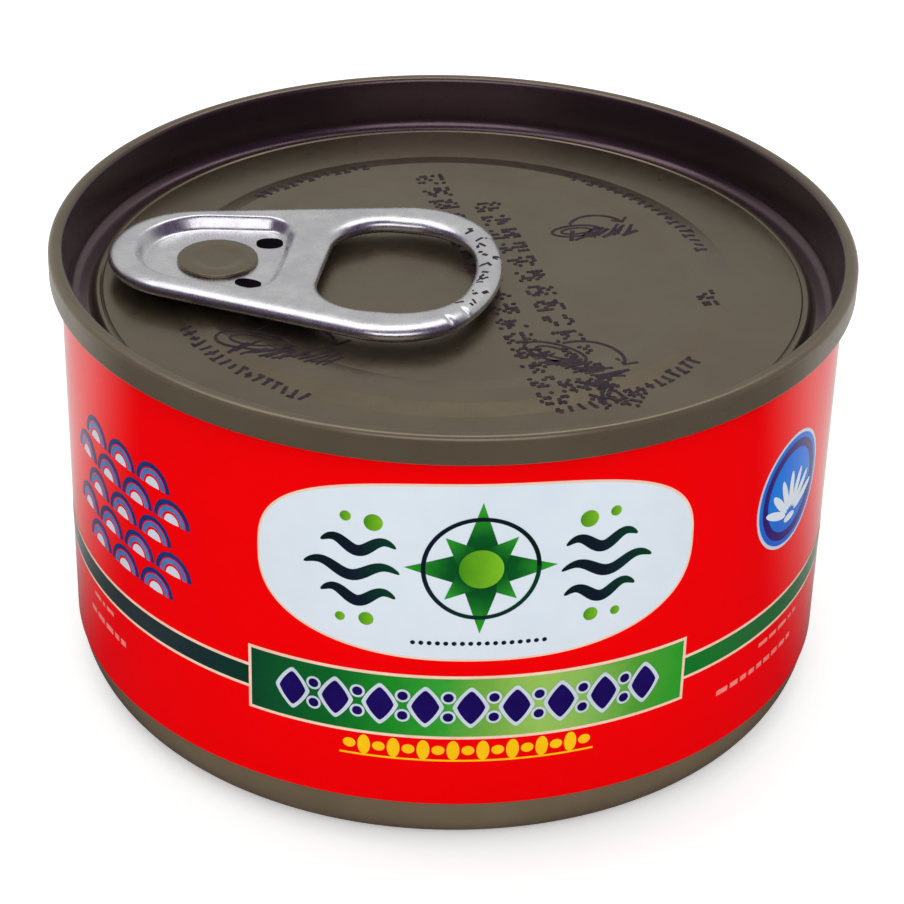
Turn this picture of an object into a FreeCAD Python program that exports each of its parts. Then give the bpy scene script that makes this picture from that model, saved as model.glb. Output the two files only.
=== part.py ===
"""Small drawn food can with an easy-open end and a riveted ring-pull tab.

Frame: millimetres, +Z up along the can's axis, origin at the centre of the base where the can
stands, -Y towards the front of the printed label. Each node is one solid:

    can_body       drawn cup with its packed contents, closed, solid up to the end's underside
    label          thin printed sleeve round the wall
    easy_open_end  seamed end in one piece: seam, chuck wall, countersink, panel, rivet
    pull_tab       curled ring tab with a finger hole, held by the rivet
"""
import FreeCAD, Part
import math
import os

from FreeCAD import Vector

# ---------------------------------------------------------------- driving dimensions, mm
CAN_HEIGHT = 39.7
BODY_RADIUS = 33.1

SEAM_OVERHANG = 1.05         # seam's outside beyond the wall
SEAM_HEIGHT = 2.55
SEAM_THICKNESS = 1.25
SEAM_CROWN_ROUNDING = 0.5
SEAM_FOOT_ROUNDING = 0.35

END_PLATE = 0.25
COUNTERSINK_DEPTH = 5.0
PANEL_DEPTH = 4.1
CHUCK_WALL_LEAN = 0.3
COUNTERSINK_WIDTH = 1.9
COUNTERSINK_OUTER_ROUNDING = 0.95
COUNTERSINK_INNER_ROUNDING = 0.45
PANEL_EDGE_SLOPE = 0.3
PANEL_EDGE_ROUNDING = 0.3

SCORE_MARGIN = 0.55
SCORE_WIDTH = 0.3
SCORE_DEPTH = 0.1
PANEL_BORDER = 6.3           # outer level ring of the panel, out to its edge
PLATFORM_SLOPE = 1.9
PLATFORM_RISE = 0.3
DISH_BORDER = 3.9            # raised ring round the shallow middle dish
DISH_SLOPE = 1.6
DISH_DEPTH = 0.12
BEAD_ROUNDING = 1.5

BASE_CORNER_INSET = 3.2
BASE_CORNER_HEIGHT = 5.4
STAND_RING_WIDTH = 1.4
BASE_RECESS_DEPTH = 1.3
BASE_RECESS_SLOPE = 1.5
BASE_BEAD_BORDER = 6.0       # recessed ring between the stand ring's wall and the bead
BASE_BEAD_SLOPE = 1.2
BASE_BEAD_DROP = 0.4
BASE_ROUNDING = 0.5

LABEL_THICKNESS = 0.1
LABEL_FOOT_HEIGHT = 4.7
LABEL_TOP_GAP = 0.1

RIVET_BEARING = 182.4        # degrees from +X
RIVET_HEAD_RADIUS = 3.45
RIVET_HEAD_HEIGHT = 0.35
RIVET_HEAD_ROUNDING = 0.15
RIVET_SHANK_RADIUS = 2.3
RIVET_BOSS_RADIUS = 3.7
RIVET_BOSS_SPREAD = 0.8

TAB_NOSE_TO_SCORE = 0.4      # nose tip short of the score line
TAB_SWING = -10.0            # degrees, tab against the line from rivet to can's axis
TAB_SIDE_STEP = 0.3          # tab's centre line beside the rivet
TAB_NOSE_REACH = 9.4         # rivet's centre to the nose tip
TAB_NOSE_RADIUS = 7.7
TAB_HALF_WIDTH = 11.8
TAB_RING_CORNER_RADIUS = 7.6
TAB_RING_END_RADIUS = 17.3
TAB_THICKNESS = 1.5
TAB_CLEARANCE = 0.6          # curled rim above the raised panel
TAB_CURL_ROUNDING = 0.7
TAB_CURL_WIDTH = 2.0
TAB_SHEET = 0.4
TAB_RIVET_CLEARANCE = 0.05

FINGER_HOLE_LENGTH = 12.8
FINGER_HOLE_SIDE_BAND = 3.7  # width of the ring at each side
FINGER_HOLE_END_BAND = 2.3   # width of the ring at its far end
FINGER_HOLE_NEAR_ROUNDING = 4.9
FINGER_HOLE_FAR_ROUNDING = 6.0
HOLE_EDGE_ROUNDING = 0.55
FLAT_LEAST = 0.2             # straight left between two roundings of the hole

ISLAND_NOSE_RADIUS = 5.2
ISLAND_NOSE_AT = -1.0
ISLAND_REACH = 5.0
ISLAND_HALF_WIDTH = 5.8
ISLAND_CORNER_RADIUS = 1.9
ISLAND_WALL_SPREAD = 1.0
BRIDGE_WIDTH = 3.2           # between the island's wall and the finger hole
LANCE_AT = 3.5
LANCE_SPREAD = 3.8
LANCE_LENGTH = 2.3
LANCE_WIDTH = 1.9

# ---------------------------------------------------------------- sizes that follow
seam_radius = BODY_RADIUS + SEAM_OVERHANG
seam_foot_z = CAN_HEIGHT - SEAM_HEIGHT
chuck_top_radius = seam_radius - SEAM_THICKNESS
countersink_z = CAN_HEIGHT - COUNTERSINK_DEPTH
panel_z = CAN_HEIGHT - PANEL_DEPTH
platform_z = panel_z + PLATFORM_RISE
dish_z = platform_z - DISH_DEPTH
countersink_outer_radius = chuck_top_radius - CHUCK_WALL_LEAN
countersink_inner_radius = countersink_outer_radius - COUNTERSINK_WIDTH
panel_edge_radius = countersink_inner_radius - PANEL_EDGE_SLOPE
score_radius = panel_edge_radius - SCORE_MARGIN
panel_underside_z = panel_z - END_PLATE
platform_radius = panel_edge_radius - PANEL_BORDER
dish_radius = platform_radius - DISH_BORDER

tab_foot_z = platform_z + TAB_CLEARANCE
island_top_z = tab_foot_z + TAB_SHEET
finger_hole_start = ISLAND_REACH + ISLAND_WALL_SPREAD + BRIDGE_WIDTH
finger_hole_end = finger_hole_start + FINGER_HOLE_LENGTH
finger_hole_half_width = TAB_HALF_WIDTH - FINGER_HOLE_SIDE_BAND
ring_reach = finger_hole_end + FINGER_HOLE_END_BAND
rivet_offset = score_radius - TAB_NOSE_TO_SCORE - TAB_NOSE_REACH
rivet_x = rivet_offset * math.cos(math.radians(RIVET_BEARING))
rivet_y = rivet_offset * math.sin(math.radians(RIVET_BEARING))
tab_bearing = RIVET_BEARING - 180.0 + TAB_SWING

AXIS_FOOT = Vector(0, 0, 0)
UP = Vector(0, 0, 1)


# ---------------------------------------------------------------- profile helpers
def corner(radius, height, rounding=0.0):
    """A corner of a turned profile in the XZ plane, with the rounding it gets."""
    return Vector(radius, 0, height), rounding


def rounded_chain(corners):
    """Lines through the corners in order, each inner corner rounded by a tangent arc."""
    edges = []
    pen = corners[0][0]
    for before, here, after in zip(corners, corners[1:], corners[2:]):
        point, rounding = here
        if rounding == 0.0:
            edges.append(Part.makeLine(pen, point))
            pen = point
            continue
        back = (before[0] - point).normalize()
        ahead = (after[0] - point).normalize()
        half_angle = back.getAngle(ahead) / 2
        reach = rounding / math.tan(half_angle)
        bisector = (back + ahead).normalize()
        start = point + back * reach
        middle = point + bisector * (rounding / math.sin(half_angle) - rounding)
        end = point + ahead * reach
        edges.append(Part.makeLine(pen, start))
        edges.append(Part.Arc(start, middle, end).toShape())
        pen = end
    edges.append(Part.makeLine(pen, corners[-1][0]))
    return edges


def turned(edges):
    """One solid turned about the can's axis from a closed profile."""
    return Part.Face(Part.Wire(edges)).revolve(AXIS_FOOT, UP, 360)


def polar(centre, radius, angle):
    """Point at a radius and an angle in radians about a centre, in the tab's plane."""
    return centre + Vector(radius * math.cos(angle), radius * math.sin(angle), 0)


# ---------------------------------------------------------------- the seamed end
def end_top_corners():
    """Upper side of the end from its axis out to the seam's foot."""
    half_score = SCORE_WIDTH / 2
    return [
        corner(0, dish_z),
        corner(dish_radius - DISH_SLOPE, dish_z, BEAD_ROUNDING),
        corner(dish_radius, platform_z, BEAD_ROUNDING),
        corner(platform_radius - PLATFORM_SLOPE, platform_z, BEAD_ROUNDING),
        corner(platform_radius, panel_z, BEAD_ROUNDING),
        corner(score_radius - half_score, panel_z),
        corner(score_radius, panel_z - SCORE_DEPTH),
        corner(score_radius + half_score, panel_z),
        corner(panel_edge_radius, panel_z, PANEL_EDGE_ROUNDING),
        corner(countersink_inner_radius, countersink_z, COUNTERSINK_INNER_ROUNDING),
        corner(countersink_outer_radius, countersink_z, COUNTERSINK_OUTER_ROUNDING),
        corner(chuck_top_radius, CAN_HEIGHT, SEAM_CROWN_ROUNDING),
        corner(seam_radius, CAN_HEIGHT, SEAM_CROWN_ROUNDING),
        corner(seam_radius, seam_foot_z, SEAM_FOOT_ROUNDING),
        corner(BODY_RADIUS, seam_foot_z),
    ]


def end_underside_corners():
    """Underside of the end from the body wall back to the axis, shared with the can body."""
    wall_lean = CHUCK_WALL_LEAN * (seam_foot_z - countersink_z) / COUNTERSINK_DEPTH
    wall_radius = countersink_outer_radius + wall_lean + END_PLATE
    groove_floor_z = countersink_z - END_PLATE
    return [
        corner(BODY_RADIUS, seam_foot_z),
        corner(wall_radius, seam_foot_z),
        corner(countersink_outer_radius + END_PLATE, groove_floor_z, COUNTERSINK_OUTER_ROUNDING),
        corner(countersink_inner_radius - END_PLATE, groove_floor_z, COUNTERSINK_INNER_ROUNDING),
        corner(panel_edge_radius - END_PLATE, panel_underside_z),
        corner(0, panel_underside_z),
    ]


def rivet():
    """Rivet drawn up from the panel: a low boss, a shank through the tab and a staked head."""
    root_z = panel_z - END_PLATE / 2
    head_z = island_top_z + RIVET_HEAD_HEIGHT
    profile = rounded_chain([
        corner(0, root_z),
        corner(RIVET_BOSS_RADIUS + RIVET_BOSS_SPREAD, root_z),
        corner(RIVET_BOSS_RADIUS, tab_foot_z),
        corner(RIVET_SHANK_RADIUS, tab_foot_z),
        corner(RIVET_SHANK_RADIUS, island_top_z),
        corner(RIVET_HEAD_RADIUS, island_top_z),
        corner(RIVET_HEAD_RADIUS, head_z, RIVET_HEAD_ROUNDING),
        corner(0, head_z),
    ])
    profile.append(Part.makeLine(Vector(0, 0, head_z), Vector(0, 0, root_z)))
    shape = turned(profile)
    shape.translate(Vector(rivet_x, rivet_y, 0))
    return shape


def easy_open_end():
    """Seam, chuck wall, countersink, scored panel with its beads, and the rivet, as one solid."""
    profile = rounded_chain(end_top_corners())
    profile += rounded_chain(end_underside_corners())
    profile.append(Part.makeLine(Vector(0, 0, panel_underside_z), Vector(0, 0, dish_z)))
    return turned(profile).fuse(rivet()).removeSplitter()


# ---------------------------------------------------------------- the can body and its label
def base_corner_edge():
    """Quarter ellipse from the stand ring up into the wall."""
    centre = Vector(BODY_RADIUS - BASE_CORNER_INSET, 0, BASE_CORNER_HEIGHT)
    foot = centre - UP * BASE_CORNER_HEIGHT
    side = centre + Vector(BASE_CORNER_INSET, 0, 0)
    if BASE_CORNER_HEIGHT > BASE_CORNER_INSET:
        ellipse = Part.Ellipse(foot, side, centre)
        return Part.ArcOfEllipse(ellipse, 0, math.pi / 2).toShape()
    ellipse = Part.Ellipse(side, foot, centre)
    return Part.ArcOfEllipse(ellipse, math.pi * 3 / 2, math.pi * 2).toShape()


def can_body():
    """Drawn body filled to the end's underside, with a stand ring and a recessed base."""
    stand_outer_radius = BODY_RADIUS - BASE_CORNER_INSET
    stand_inner_radius = stand_outer_radius - STAND_RING_WIDTH
    recess_radius = stand_inner_radius - BASE_RECESS_SLOPE
    bead_radius = recess_radius - BASE_BEAD_BORDER
    bead_z = BASE_RECESS_DEPTH - BASE_BEAD_DROP
    profile = rounded_chain([
        corner(0, bead_z),
        corner(bead_radius - BASE_BEAD_SLOPE, bead_z, BASE_ROUNDING),
        corner(bead_radius, BASE_RECESS_DEPTH, BASE_ROUNDING),
        corner(recess_radius, BASE_RECESS_DEPTH, BASE_ROUNDING),
        corner(stand_inner_radius, 0, BASE_ROUNDING),
        corner(stand_outer_radius, 0),
    ])
    profile.append(base_corner_edge())
    profile.append(Part.makeLine(Vector(BODY_RADIUS, 0, BASE_CORNER_HEIGHT),
                                 Vector(BODY_RADIUS, 0, seam_foot_z)))
    profile += rounded_chain(end_underside_corners())
    profile.append(Part.makeLine(Vector(0, 0, panel_underside_z), Vector(0, 0, bead_z)))
    return turned(profile)


def label():
    """Sleeve on the wall, from just above the base corner to just under the seam."""
    height = seam_foot_z - LABEL_TOP_GAP - LABEL_FOOT_HEIGHT
    foot = Vector(0, 0, LABEL_FOOT_HEIGHT)
    outside = Part.makeCylinder(BODY_RADIUS + LABEL_THICKNESS, height, foot)
    inside = Part.makeCylinder(BODY_RADIUS, height, foot)
    return outside.cut(inside)


# ---------------------------------------------------------------- the ring-pull tab
# The tab is drawn beside the rivet's centre, on its own centre line, with its ring along +X and
# Z = 0 at the lowest point of its curled rim. It is then turned and moved onto the rivet.

def line_and_arcs(nose, nose_radius, bend, bend_radius, end_centre, end_radius, inset):
    """Closed outline, mirrored about X: nose arc, straight side, corner arc, end arc, and back."""
    nose_radius -= inset
    bend_radius -= inset
    end_radius -= inset
    span = bend - nose
    side_normal = math.atan2(span.y, span.x) + math.pi / 2
    side_normal += math.asin((bend_radius - nose_radius) / span.Length)
    end_turn = math.atan2(bend.y - end_centre.y, bend.x - end_centre.x)
    nose_end = polar(nose, nose_radius, side_normal)
    side_end = polar(bend, bend_radius, side_normal)
    bend_middle = polar(bend, bend_radius, (side_normal + end_turn) / 2)
    bend_end = polar(bend, bend_radius, end_turn)

    def mirrored(point):
        return Vector(point.x, -point.y, 0)

    return Part.Wire([
        Part.Arc(mirrored(nose_end), polar(nose, nose_radius, math.pi), nose_end).toShape(),
        Part.makeLine(nose_end, side_end),
        Part.Arc(side_end, bend_middle, bend_end).toShape(),
        Part.Arc(bend_end, polar(end_centre, end_radius, 0), mirrored(bend_end)).toShape(),
        Part.Arc(mirrored(bend_end), mirrored(bend_middle), mirrored(side_end)).toShape(),
        Part.makeLine(mirrored(side_end), mirrored(nose_end)),
    ])


def inner_tangent_centre(end_centre_x, end_radius, half_width, corner_radius):
    """Centre of a corner arc that meets the side at the half width and the end arc inside."""
    spread = half_width - corner_radius
    slack = end_radius - corner_radius
    return Vector(end_centre_x + math.sqrt(slack ** 2 - spread ** 2), spread, 0)


def tab_outline(inset=0.0):
    """Outer edge of the tab, drawn in by an inset."""
    nose = Vector(TAB_NOSE_RADIUS - TAB_NOSE_REACH, 0, 0)
    end_centre = Vector(ring_reach - TAB_RING_END_RADIUS, 0, 0)
    bend = inner_tangent_centre(end_centre.x, TAB_RING_END_RADIUS,
                                TAB_HALF_WIDTH, TAB_RING_CORNER_RADIUS)
    return line_and_arcs(nose, TAB_NOSE_RADIUS, bend, TAB_RING_CORNER_RADIUS,
                         end_centre, TAB_RING_END_RADIUS, inset)


def finger_hole_outline(outset=0.0):
    """Edge of the finger hole, drawn out by an outset; its far arc follows the ring's end."""
    end_radius = TAB_RING_END_RADIUS - FINGER_HOLE_END_BAND
    end_centre = Vector(finger_hole_end - end_radius, 0, 0)
    far = inner_tangent_centre(end_centre.x, end_radius,
                               finger_hole_half_width, FINGER_HOLE_FAR_ROUNDING)
    near_rounding = min(FINGER_HOLE_NEAR_ROUNDING, far.x - finger_hole_start - FLAT_LEAST)
    near = Vector(finger_hole_start + near_rounding, finger_hole_half_width - near_rounding, 0)
    near_radius = near_rounding + outset
    far_radius = FINGER_HOLE_FAR_ROUNDING + outset
    end_turn = math.atan2(far.y, far.x - end_centre.x)

    def side(sign):
        def at(centre, radius, angle):
            return polar(Vector(centre.x, sign * centre.y, 0), radius, sign * angle)
        quarter = math.pi / 2
        return [
            (at(near, near_radius, 2 * quarter), at(near, near_radius, 1.5 * quarter),
             at(near, near_radius, quarter)),
            (at(far, far_radius, quarter), at(far, far_radius, (quarter + end_turn) / 2),
             at(far, far_radius, end_turn)),
        ]

    near_left, far_left = side(1)
    near_right, far_right = side(-1)
    tip = polar(end_centre, end_radius + outset, 0)
    return Part.Wire([
        Part.makeLine(near_right[0], near_left[0]),
        Part.Arc(*near_left).toShape(),
        Part.makeLine(near_left[2], far_left[0]),
        Part.Arc(*far_left).toShape(),
        Part.Arc(far_left[2], tip, far_right[2]).toShape(),
        Part.Arc(*reversed(far_right)).toShape(),
        Part.makeLine(far_right[0], near_right[2]),
        Part.Arc(*reversed(near_right)).toShape(),
    ])


def island_outline(outset=0.0):
    """Edge of the sunk island round the rivet, drawn out by an outset."""
    nose = Vector(ISLAND_NOSE_AT, 0, 0)
    bend = Vector(ISLAND_REACH - ISLAND_CORNER_RADIUS,
                  ISLAND_HALF_WIDTH - ISLAND_CORNER_RADIUS, 0)
    flat_end_radius = 10 * ISLAND_HALF_WIDTH
    slack = flat_end_radius - ISLAND_CORNER_RADIUS
    end_centre = Vector(bend.x - math.sqrt(slack ** 2 - bend.y ** 2), 0, 0)
    return line_and_arcs(nose, ISLAND_NOSE_RADIUS, bend, ISLAND_CORNER_RADIUS,
                         end_centre, flat_end_radius, -outset)


def raised(wire, height):
    """Copy of a flat wire at a height."""
    copy = wire.copy()
    copy.translate(UP * height)
    return copy


def slab(wire, foot, top):
    """Solid between two heights inside a flat outline."""
    return Part.Face(raised(wire, foot)).extrude(UP * (top - foot))


def rim_edges(shape, wire, heights):
    """Edges of a shape that lie along a flat outline at any of the given heights."""
    found = []
    for edge in shape.Edges:
        middle = edge.valueAt((edge.FirstParameter + edge.LastParameter) / 2)
        on_height = any(abs(middle.z - height) < 1e-6 for height in heights)
        if on_height and abs(edge.BoundBox.ZLength) < 1e-6:
            flat_point = Part.Vertex(Vector(middle.x, middle.y, 0))
            if wire.distToShape(flat_point)[0] < 1e-6:
                found.append(edge)
    return found


def lance_slots():
    """Rounded slots through the island's floor, one each side beyond the rivet."""
    half_length = (LANCE_LENGTH - LANCE_WIDTH) / 2
    radius = LANCE_WIDTH / 2
    slots = []
    for side in (-1, 1):
        centre = Vector(LANCE_AT, side * LANCE_SPREAD, -TAB_THICKNESS)
        middle = Part.makeBox(2 * half_length, LANCE_WIDTH, 3 * TAB_THICKNESS,
                              centre - Vector(half_length, radius, 0))
        ends = [Part.makeCylinder(radius, 3 * TAB_THICKNESS, centre + Vector(shift, 0, 0))
                for shift in (-half_length, half_length)]
        slots.append(middle.fuse(ends))
    return slots


def pull_tab():
    """Ring tab: curled rims, hollow underneath, with a sunk island where the rivet holds it."""
    outline = tab_outline()
    hole = finger_hole_outline()
    blank = slab(outline, 0, TAB_THICKNESS).cut(slab(hole, 0, TAB_THICKNESS))
    levels = (0, TAB_THICKNESS)
    curled = blank.makeFillet(TAB_CURL_ROUNDING, rim_edges(blank, outline, levels))
    curled = curled.makeFillet(HOLE_EDGE_ROUNDING, rim_edges(curled, hole, levels))

    web_underside = TAB_THICKNESS - TAB_SHEET
    hollow = slab(tab_outline(TAB_CURL_WIDTH), 0, web_underside)
    hollow = hollow.cut(slab(finger_hole_outline(TAB_CURL_WIDTH), 0, web_underside))
    island_wall = island_outline(ISLAND_WALL_SPREAD + TAB_SHEET)
    hollow = hollow.cut(slab(island_wall, 0, web_underside))

    floor_edge = raised(island_outline(), TAB_SHEET)
    top_edge = raised(island_outline(ISLAND_WALL_SPREAD), TAB_THICKNESS)
    island_well = Part.makeLoft([floor_edge, top_edge], True, True)

    rivet_foot = Vector(0, -TAB_SIDE_STEP, 0)
    rivet_hole = Part.makeCylinder(RIVET_SHANK_RADIUS + TAB_RIVET_CLEARANCE,
                                   TAB_THICKNESS, rivet_foot)
    shape = curled.cut(hollow).cut(island_well).cut([rivet_hole] + lance_slots())
    shape.translate(-rivet_foot)
    shape.rotate(AXIS_FOOT, UP, tab_bearing)
    shape.translate(Vector(rivet_x, rivet_y, tab_foot_z))
    return shape


# ---------------------------------------------------------------- write one file per node
NODES = {
    "can_body": can_body,
    "label": label,
    "easy_open_end": easy_open_end,
    "pull_tab": pull_tab,
}

os.makedirs("parts", exist_ok=True)
for node, build in NODES.items():
    shape = build()
    solids = shape.Solids
    box = shape.BoundBox
    print(f"{node}: {len(solids)} solid, valid {shape.isValid()}, volume {shape.Volume:.1f} mm3, "
          f"box {box.XLength:.2f} x {box.YLength:.2f} x {box.ZLength:.2f}")
    solids[0].exportStep(f"parts/{node}.step")
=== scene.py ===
# %% [markdown]
# # A small fish can with a ring pull
# The object is a drawn steel can, about 68 mm across and 40 mm high, lacquered khaki inside and
# out. A glossy red printed label covers the wall, and the seamed end carries a riveted ring tab.
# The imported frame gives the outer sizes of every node. The visible surfaces are made here, because
# metal this glossy shows every facet, so each turned piece gets a smooth profile of its own.

# %% Load the frame
import math

import bpy
import numpy as np
from mathutils import Matrix, Vector


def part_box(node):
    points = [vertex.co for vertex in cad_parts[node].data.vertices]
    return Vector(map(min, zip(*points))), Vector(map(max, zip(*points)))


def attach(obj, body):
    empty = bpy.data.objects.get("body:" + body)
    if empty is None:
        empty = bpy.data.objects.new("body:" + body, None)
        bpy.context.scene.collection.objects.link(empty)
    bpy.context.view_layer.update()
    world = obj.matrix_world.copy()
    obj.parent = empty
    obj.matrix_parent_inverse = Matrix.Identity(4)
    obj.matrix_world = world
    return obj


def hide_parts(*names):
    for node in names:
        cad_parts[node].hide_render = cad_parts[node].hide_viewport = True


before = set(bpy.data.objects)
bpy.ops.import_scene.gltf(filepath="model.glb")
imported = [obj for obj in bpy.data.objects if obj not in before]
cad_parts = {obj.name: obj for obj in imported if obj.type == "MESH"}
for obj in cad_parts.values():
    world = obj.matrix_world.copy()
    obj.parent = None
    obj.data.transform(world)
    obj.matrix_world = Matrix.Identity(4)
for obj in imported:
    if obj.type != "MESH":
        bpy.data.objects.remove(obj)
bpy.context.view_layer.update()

MM = 0.001
end_low, end_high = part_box("easy_open_end")
body_low, body_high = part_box("can_body")
label_low, label_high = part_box("label")
tab_low, tab_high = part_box("pull_tab")

CAN_HEIGHT = end_high.z / MM
SEAM_RADIUS = end_high.x / MM
BODY_RADIUS = body_high.x / MM
LABEL_RADIUS = label_high.x / MM
print("height", round(CAN_HEIGHT, 2), "seam radius", round(SEAM_RADIUS, 2), "mm")

# %% [markdown]
# ## Camera
# The camera looks down on the can by about thirty degrees from a hand's breadth away, so the
# round rim is a clear ellipse with a little perspective. A small roll makes the can lean to the
# right, as in a hand-held shot. The matrix is built from the three axes, which is easier to read
# than Euler angles when roll is involved.

# %% Camera
LENS = 110.3
CAMERA_BACK = 211.0 * MM
CAMERA_UP = 144.3 * MM
PITCH = math.radians(30.89)
YAW = math.radians(0.09)
ROLL = math.radians(1.554)


def camera_matrix():
    """Forward from pitch and yaw, right as forward x up, both then turned by the roll."""
    forward = Vector((math.sin(YAW) * math.cos(PITCH), math.cos(YAW) * math.cos(PITCH),
                      -math.sin(PITCH)))
    level_right = forward.cross(Vector((0, 0, 1))).normalized()
    level_up = level_right.cross(forward)
    right = level_right * math.cos(ROLL) + level_up * math.sin(ROLL)
    up = level_up * math.cos(ROLL) - level_right * math.sin(ROLL)
    turn = Matrix((right, up, -forward)).transposed().to_4x4()
    return Matrix.Translation((0, -CAMERA_BACK, CAMERA_UP)) @ turn


camera_data = bpy.data.cameras.new("camera")
camera_data.lens = LENS
camera_data.sensor_width = 36.0
camera_data.clip_start = 0.01
camera_data.dof.use_dof = False
camera = bpy.data.objects.new("camera", camera_data)
camera.matrix_world = camera_matrix()
bpy.context.collection.objects.link(camera)
bpy.context.scene.camera = camera
bpy.context.scene.view_settings.view_transform = "Standard"

# %% [markdown]
# ## Mesh helpers
# Every new surface is a grid of points worked out by numpy. One helper turns such a grid into a
# mesh: it makes the quads, closes the grid round either direction, and closes a turned shape's
# poles with small fans. Filling the mesh with foreach_set avoids loops over vertices.

# %% Grid to mesh
def grid_faces(rows, columns, close_rows, close_columns):
    """Quads of a grid, as rows of four vertex numbers, wrapped round where it is closed."""
    i = np.arange(rows if close_rows else rows - 1)
    j = np.arange(columns if close_columns else columns - 1)
    i, j = np.meshgrid(i, j, indexing="ij")
    down = (i + 1) % rows
    along = (j + 1) % columns
    quads = np.stack([i * columns + j, i * columns + along, down * columns + along,
                      down * columns + j], axis=-1)
    return quads.reshape(-1, 4)


def signed_volume(points, faces):
    """Sum over fan triangles of each face of a . (b x c) / 6, positive if faces look outwards."""
    a, b, c, d = (points[faces[:, k]] for k in range(4))
    return float((np.einsum("ij,ij->i", a, np.cross(b, c))
                  + np.einsum("ij,ij->i", a, np.cross(c, d))).sum() / 6)


def fill_mesh(name, points, faces, smooth=True):
    """A Blender mesh in metres from points in millimetres and quads."""
    mesh = bpy.data.meshes.new(name)
    mesh.vertices.add(len(points))
    mesh.vertices.foreach_set("co", (points * MM).astype(np.float32).ravel())
    mesh.loops.add(faces.size)
    mesh.loops.foreach_set("vertex_index", faces.astype(np.int32).ravel())
    mesh.polygons.add(len(faces))
    mesh.polygons.foreach_set("loop_start", np.arange(0, faces.size, 4, dtype=np.int32))
    mesh.polygons.foreach_set("use_smooth", np.full(len(faces), smooth))
    mesh.update(calc_edges=True)
    return mesh


def add_piece(name, mesh, material, replaces=()):
    """Put a mesh in the scene as a piece of the can with its material, parent it to the root body's empty, and
    hide the frame parts it replaces.
    """
    piece = bpy.data.objects.new(name, mesh)
    bpy.context.collection.objects.link(piece)
    piece.data.materials.append(material)
    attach(piece, "root")
    if replaces:
        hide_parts(*replaces)
    print(name, len(mesh.polygons), "faces")
    return piece


# %% [markdown]
# A turned shape is one closed profile carried round the axis. Where the profile starts and ends
# on the axis, all the points of that ring fall together, and merging them leaves a clean pole.

# %% Turned shapes
def rounded_profile(corners, arc_steps=8, straight_step=2.0):
    """Points along lines through (radius, height, rounding) corners. A rounding replaces its
    corner by an arc tangent to both sides: centre on the bisector, rounding / sin(half angle)
    away from the corner. Long straights are divided so that faces stay even."""
    corners = np.asarray(corners, float)
    path = [corners[0, :2]]
    for before, here, after in zip(corners, corners[1:], corners[2:]):
        point, rounding = here[:2], here[2]
        if rounding == 0:
            path.append(point)
            continue
        back = before[:2] - point
        ahead = after[:2] - point
        back /= np.linalg.norm(back)
        ahead /= np.linalg.norm(ahead)
        half = math.acos(np.clip(back @ ahead, -1, 1)) / 2
        bisector = (back + ahead) / np.linalg.norm(back + ahead)
        centre = point + bisector * rounding / math.sin(half)
        start = point + back * rounding / math.tan(half) - centre
        end = point + ahead * rounding / math.tan(half) - centre
        sweep = math.pi - 2 * half
        turn = np.linspace(0, 1, arc_steps + 1)[:, None]
        blend = (np.sin((1 - turn) * sweep) * start + np.sin(turn * sweep) * end) / math.sin(sweep)
        path.extend(centre + blend)
    path.append(corners[-1, :2])
    path = np.array(path)
    pieces = [path[:1]]
    for a, b in zip(path[:-1], path[1:]):
        count = max(1, int(np.linalg.norm(b - a) / straight_step))
        pieces.append(a + (b - a) * (np.arange(1, count + 1) / count)[:, None])
    return np.concatenate(pieces)


def merge_poles(mesh):
    """Merge points that fall together, as they do at the poles of a turned shape."""
    import bmesh
    work = bmesh.new()
    work.from_mesh(mesh)
    bmesh.ops.remove_doubles(work, verts=work.verts, dist=1e-7)
    bmesh.ops.recalc_face_normals(work, faces=work.faces)
    work.to_mesh(mesh)
    work.free()


def turned_mesh(name, profile, segments=360, centre=(0, 0), sharp_degrees=35):
    """Carry a (radius, height) profile round the Z axis: x = r cos a, y = r sin a, z = height."""
    angle = np.linspace(0, 2 * math.pi, segments, endpoint=False)
    radius, height = profile[:, 0], profile[:, 1]
    points = np.stack([np.outer(np.cos(angle), radius) + centre[0],
                       np.outer(np.sin(angle), radius) + centre[1],
                       np.broadcast_to(height, (segments, len(height)))], axis=-1)
    faces = grid_faces(segments, len(profile), True, False)
    mesh = fill_mesh(name, points.reshape(-1, 3), faces)
    merge_poles(mesh)
    mesh.set_sharp_from_angle(angle=math.radians(sharp_degrees))
    return mesh


# %% [markdown]
# ## Shader groups
# Lacquer, print and bare sheet share three effects, so each effect is one node group: soft
# mottling, fine scratches, and the faint lines that drawing or rolling leaves in sheet metal.
# A group only gives masks and heights. The shader and its constants stay in the material.

# %% Group helpers
def new_group(name, inputs, outputs):
    """An empty shader node group with float inputs {name: default} and float outputs."""
    group = bpy.data.node_groups.new(name, "ShaderNodeTree")
    for label, default in inputs.items():
        kind = "NodeSocketVector" if default is None else "NodeSocketFloat"
        socket = group.interface.new_socket(label, in_out="INPUT", socket_type=kind)
        if default is not None:
            socket.default_value = default
    for label in outputs:
        group.interface.new_socket(label, in_out="OUTPUT", socket_type="NodeSocketFloat")
    return group, group.nodes.new("NodeGroupInput"), group.nodes.new("NodeGroupOutput")


def math_node(tree, operation, first, second=0.0, clamp=False):
    """A Math node; each operand is a number or an output socket."""
    node = tree.nodes.new("ShaderNodeMath")
    node.operation = operation
    node.use_clamp = clamp
    for socket, value in zip(node.inputs, (first, second)):
        if isinstance(value, (int, float)):
            socket.default_value = value
        else:
            tree.links.new(value, socket)
    return node.outputs[0]


def ramp_between(tree, value, low, high):
    """Smooth step of a value from 0 at low to 1 at high."""
    node = tree.nodes.new("ShaderNodeMapRange")
    node.interpolation_type = "SMOOTHSTEP"
    tree.links.new(value, node.inputs["Value"])
    node.inputs["From Min"].default_value = low
    node.inputs["From Max"].default_value = high
    return node.outputs["Result"]


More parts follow.
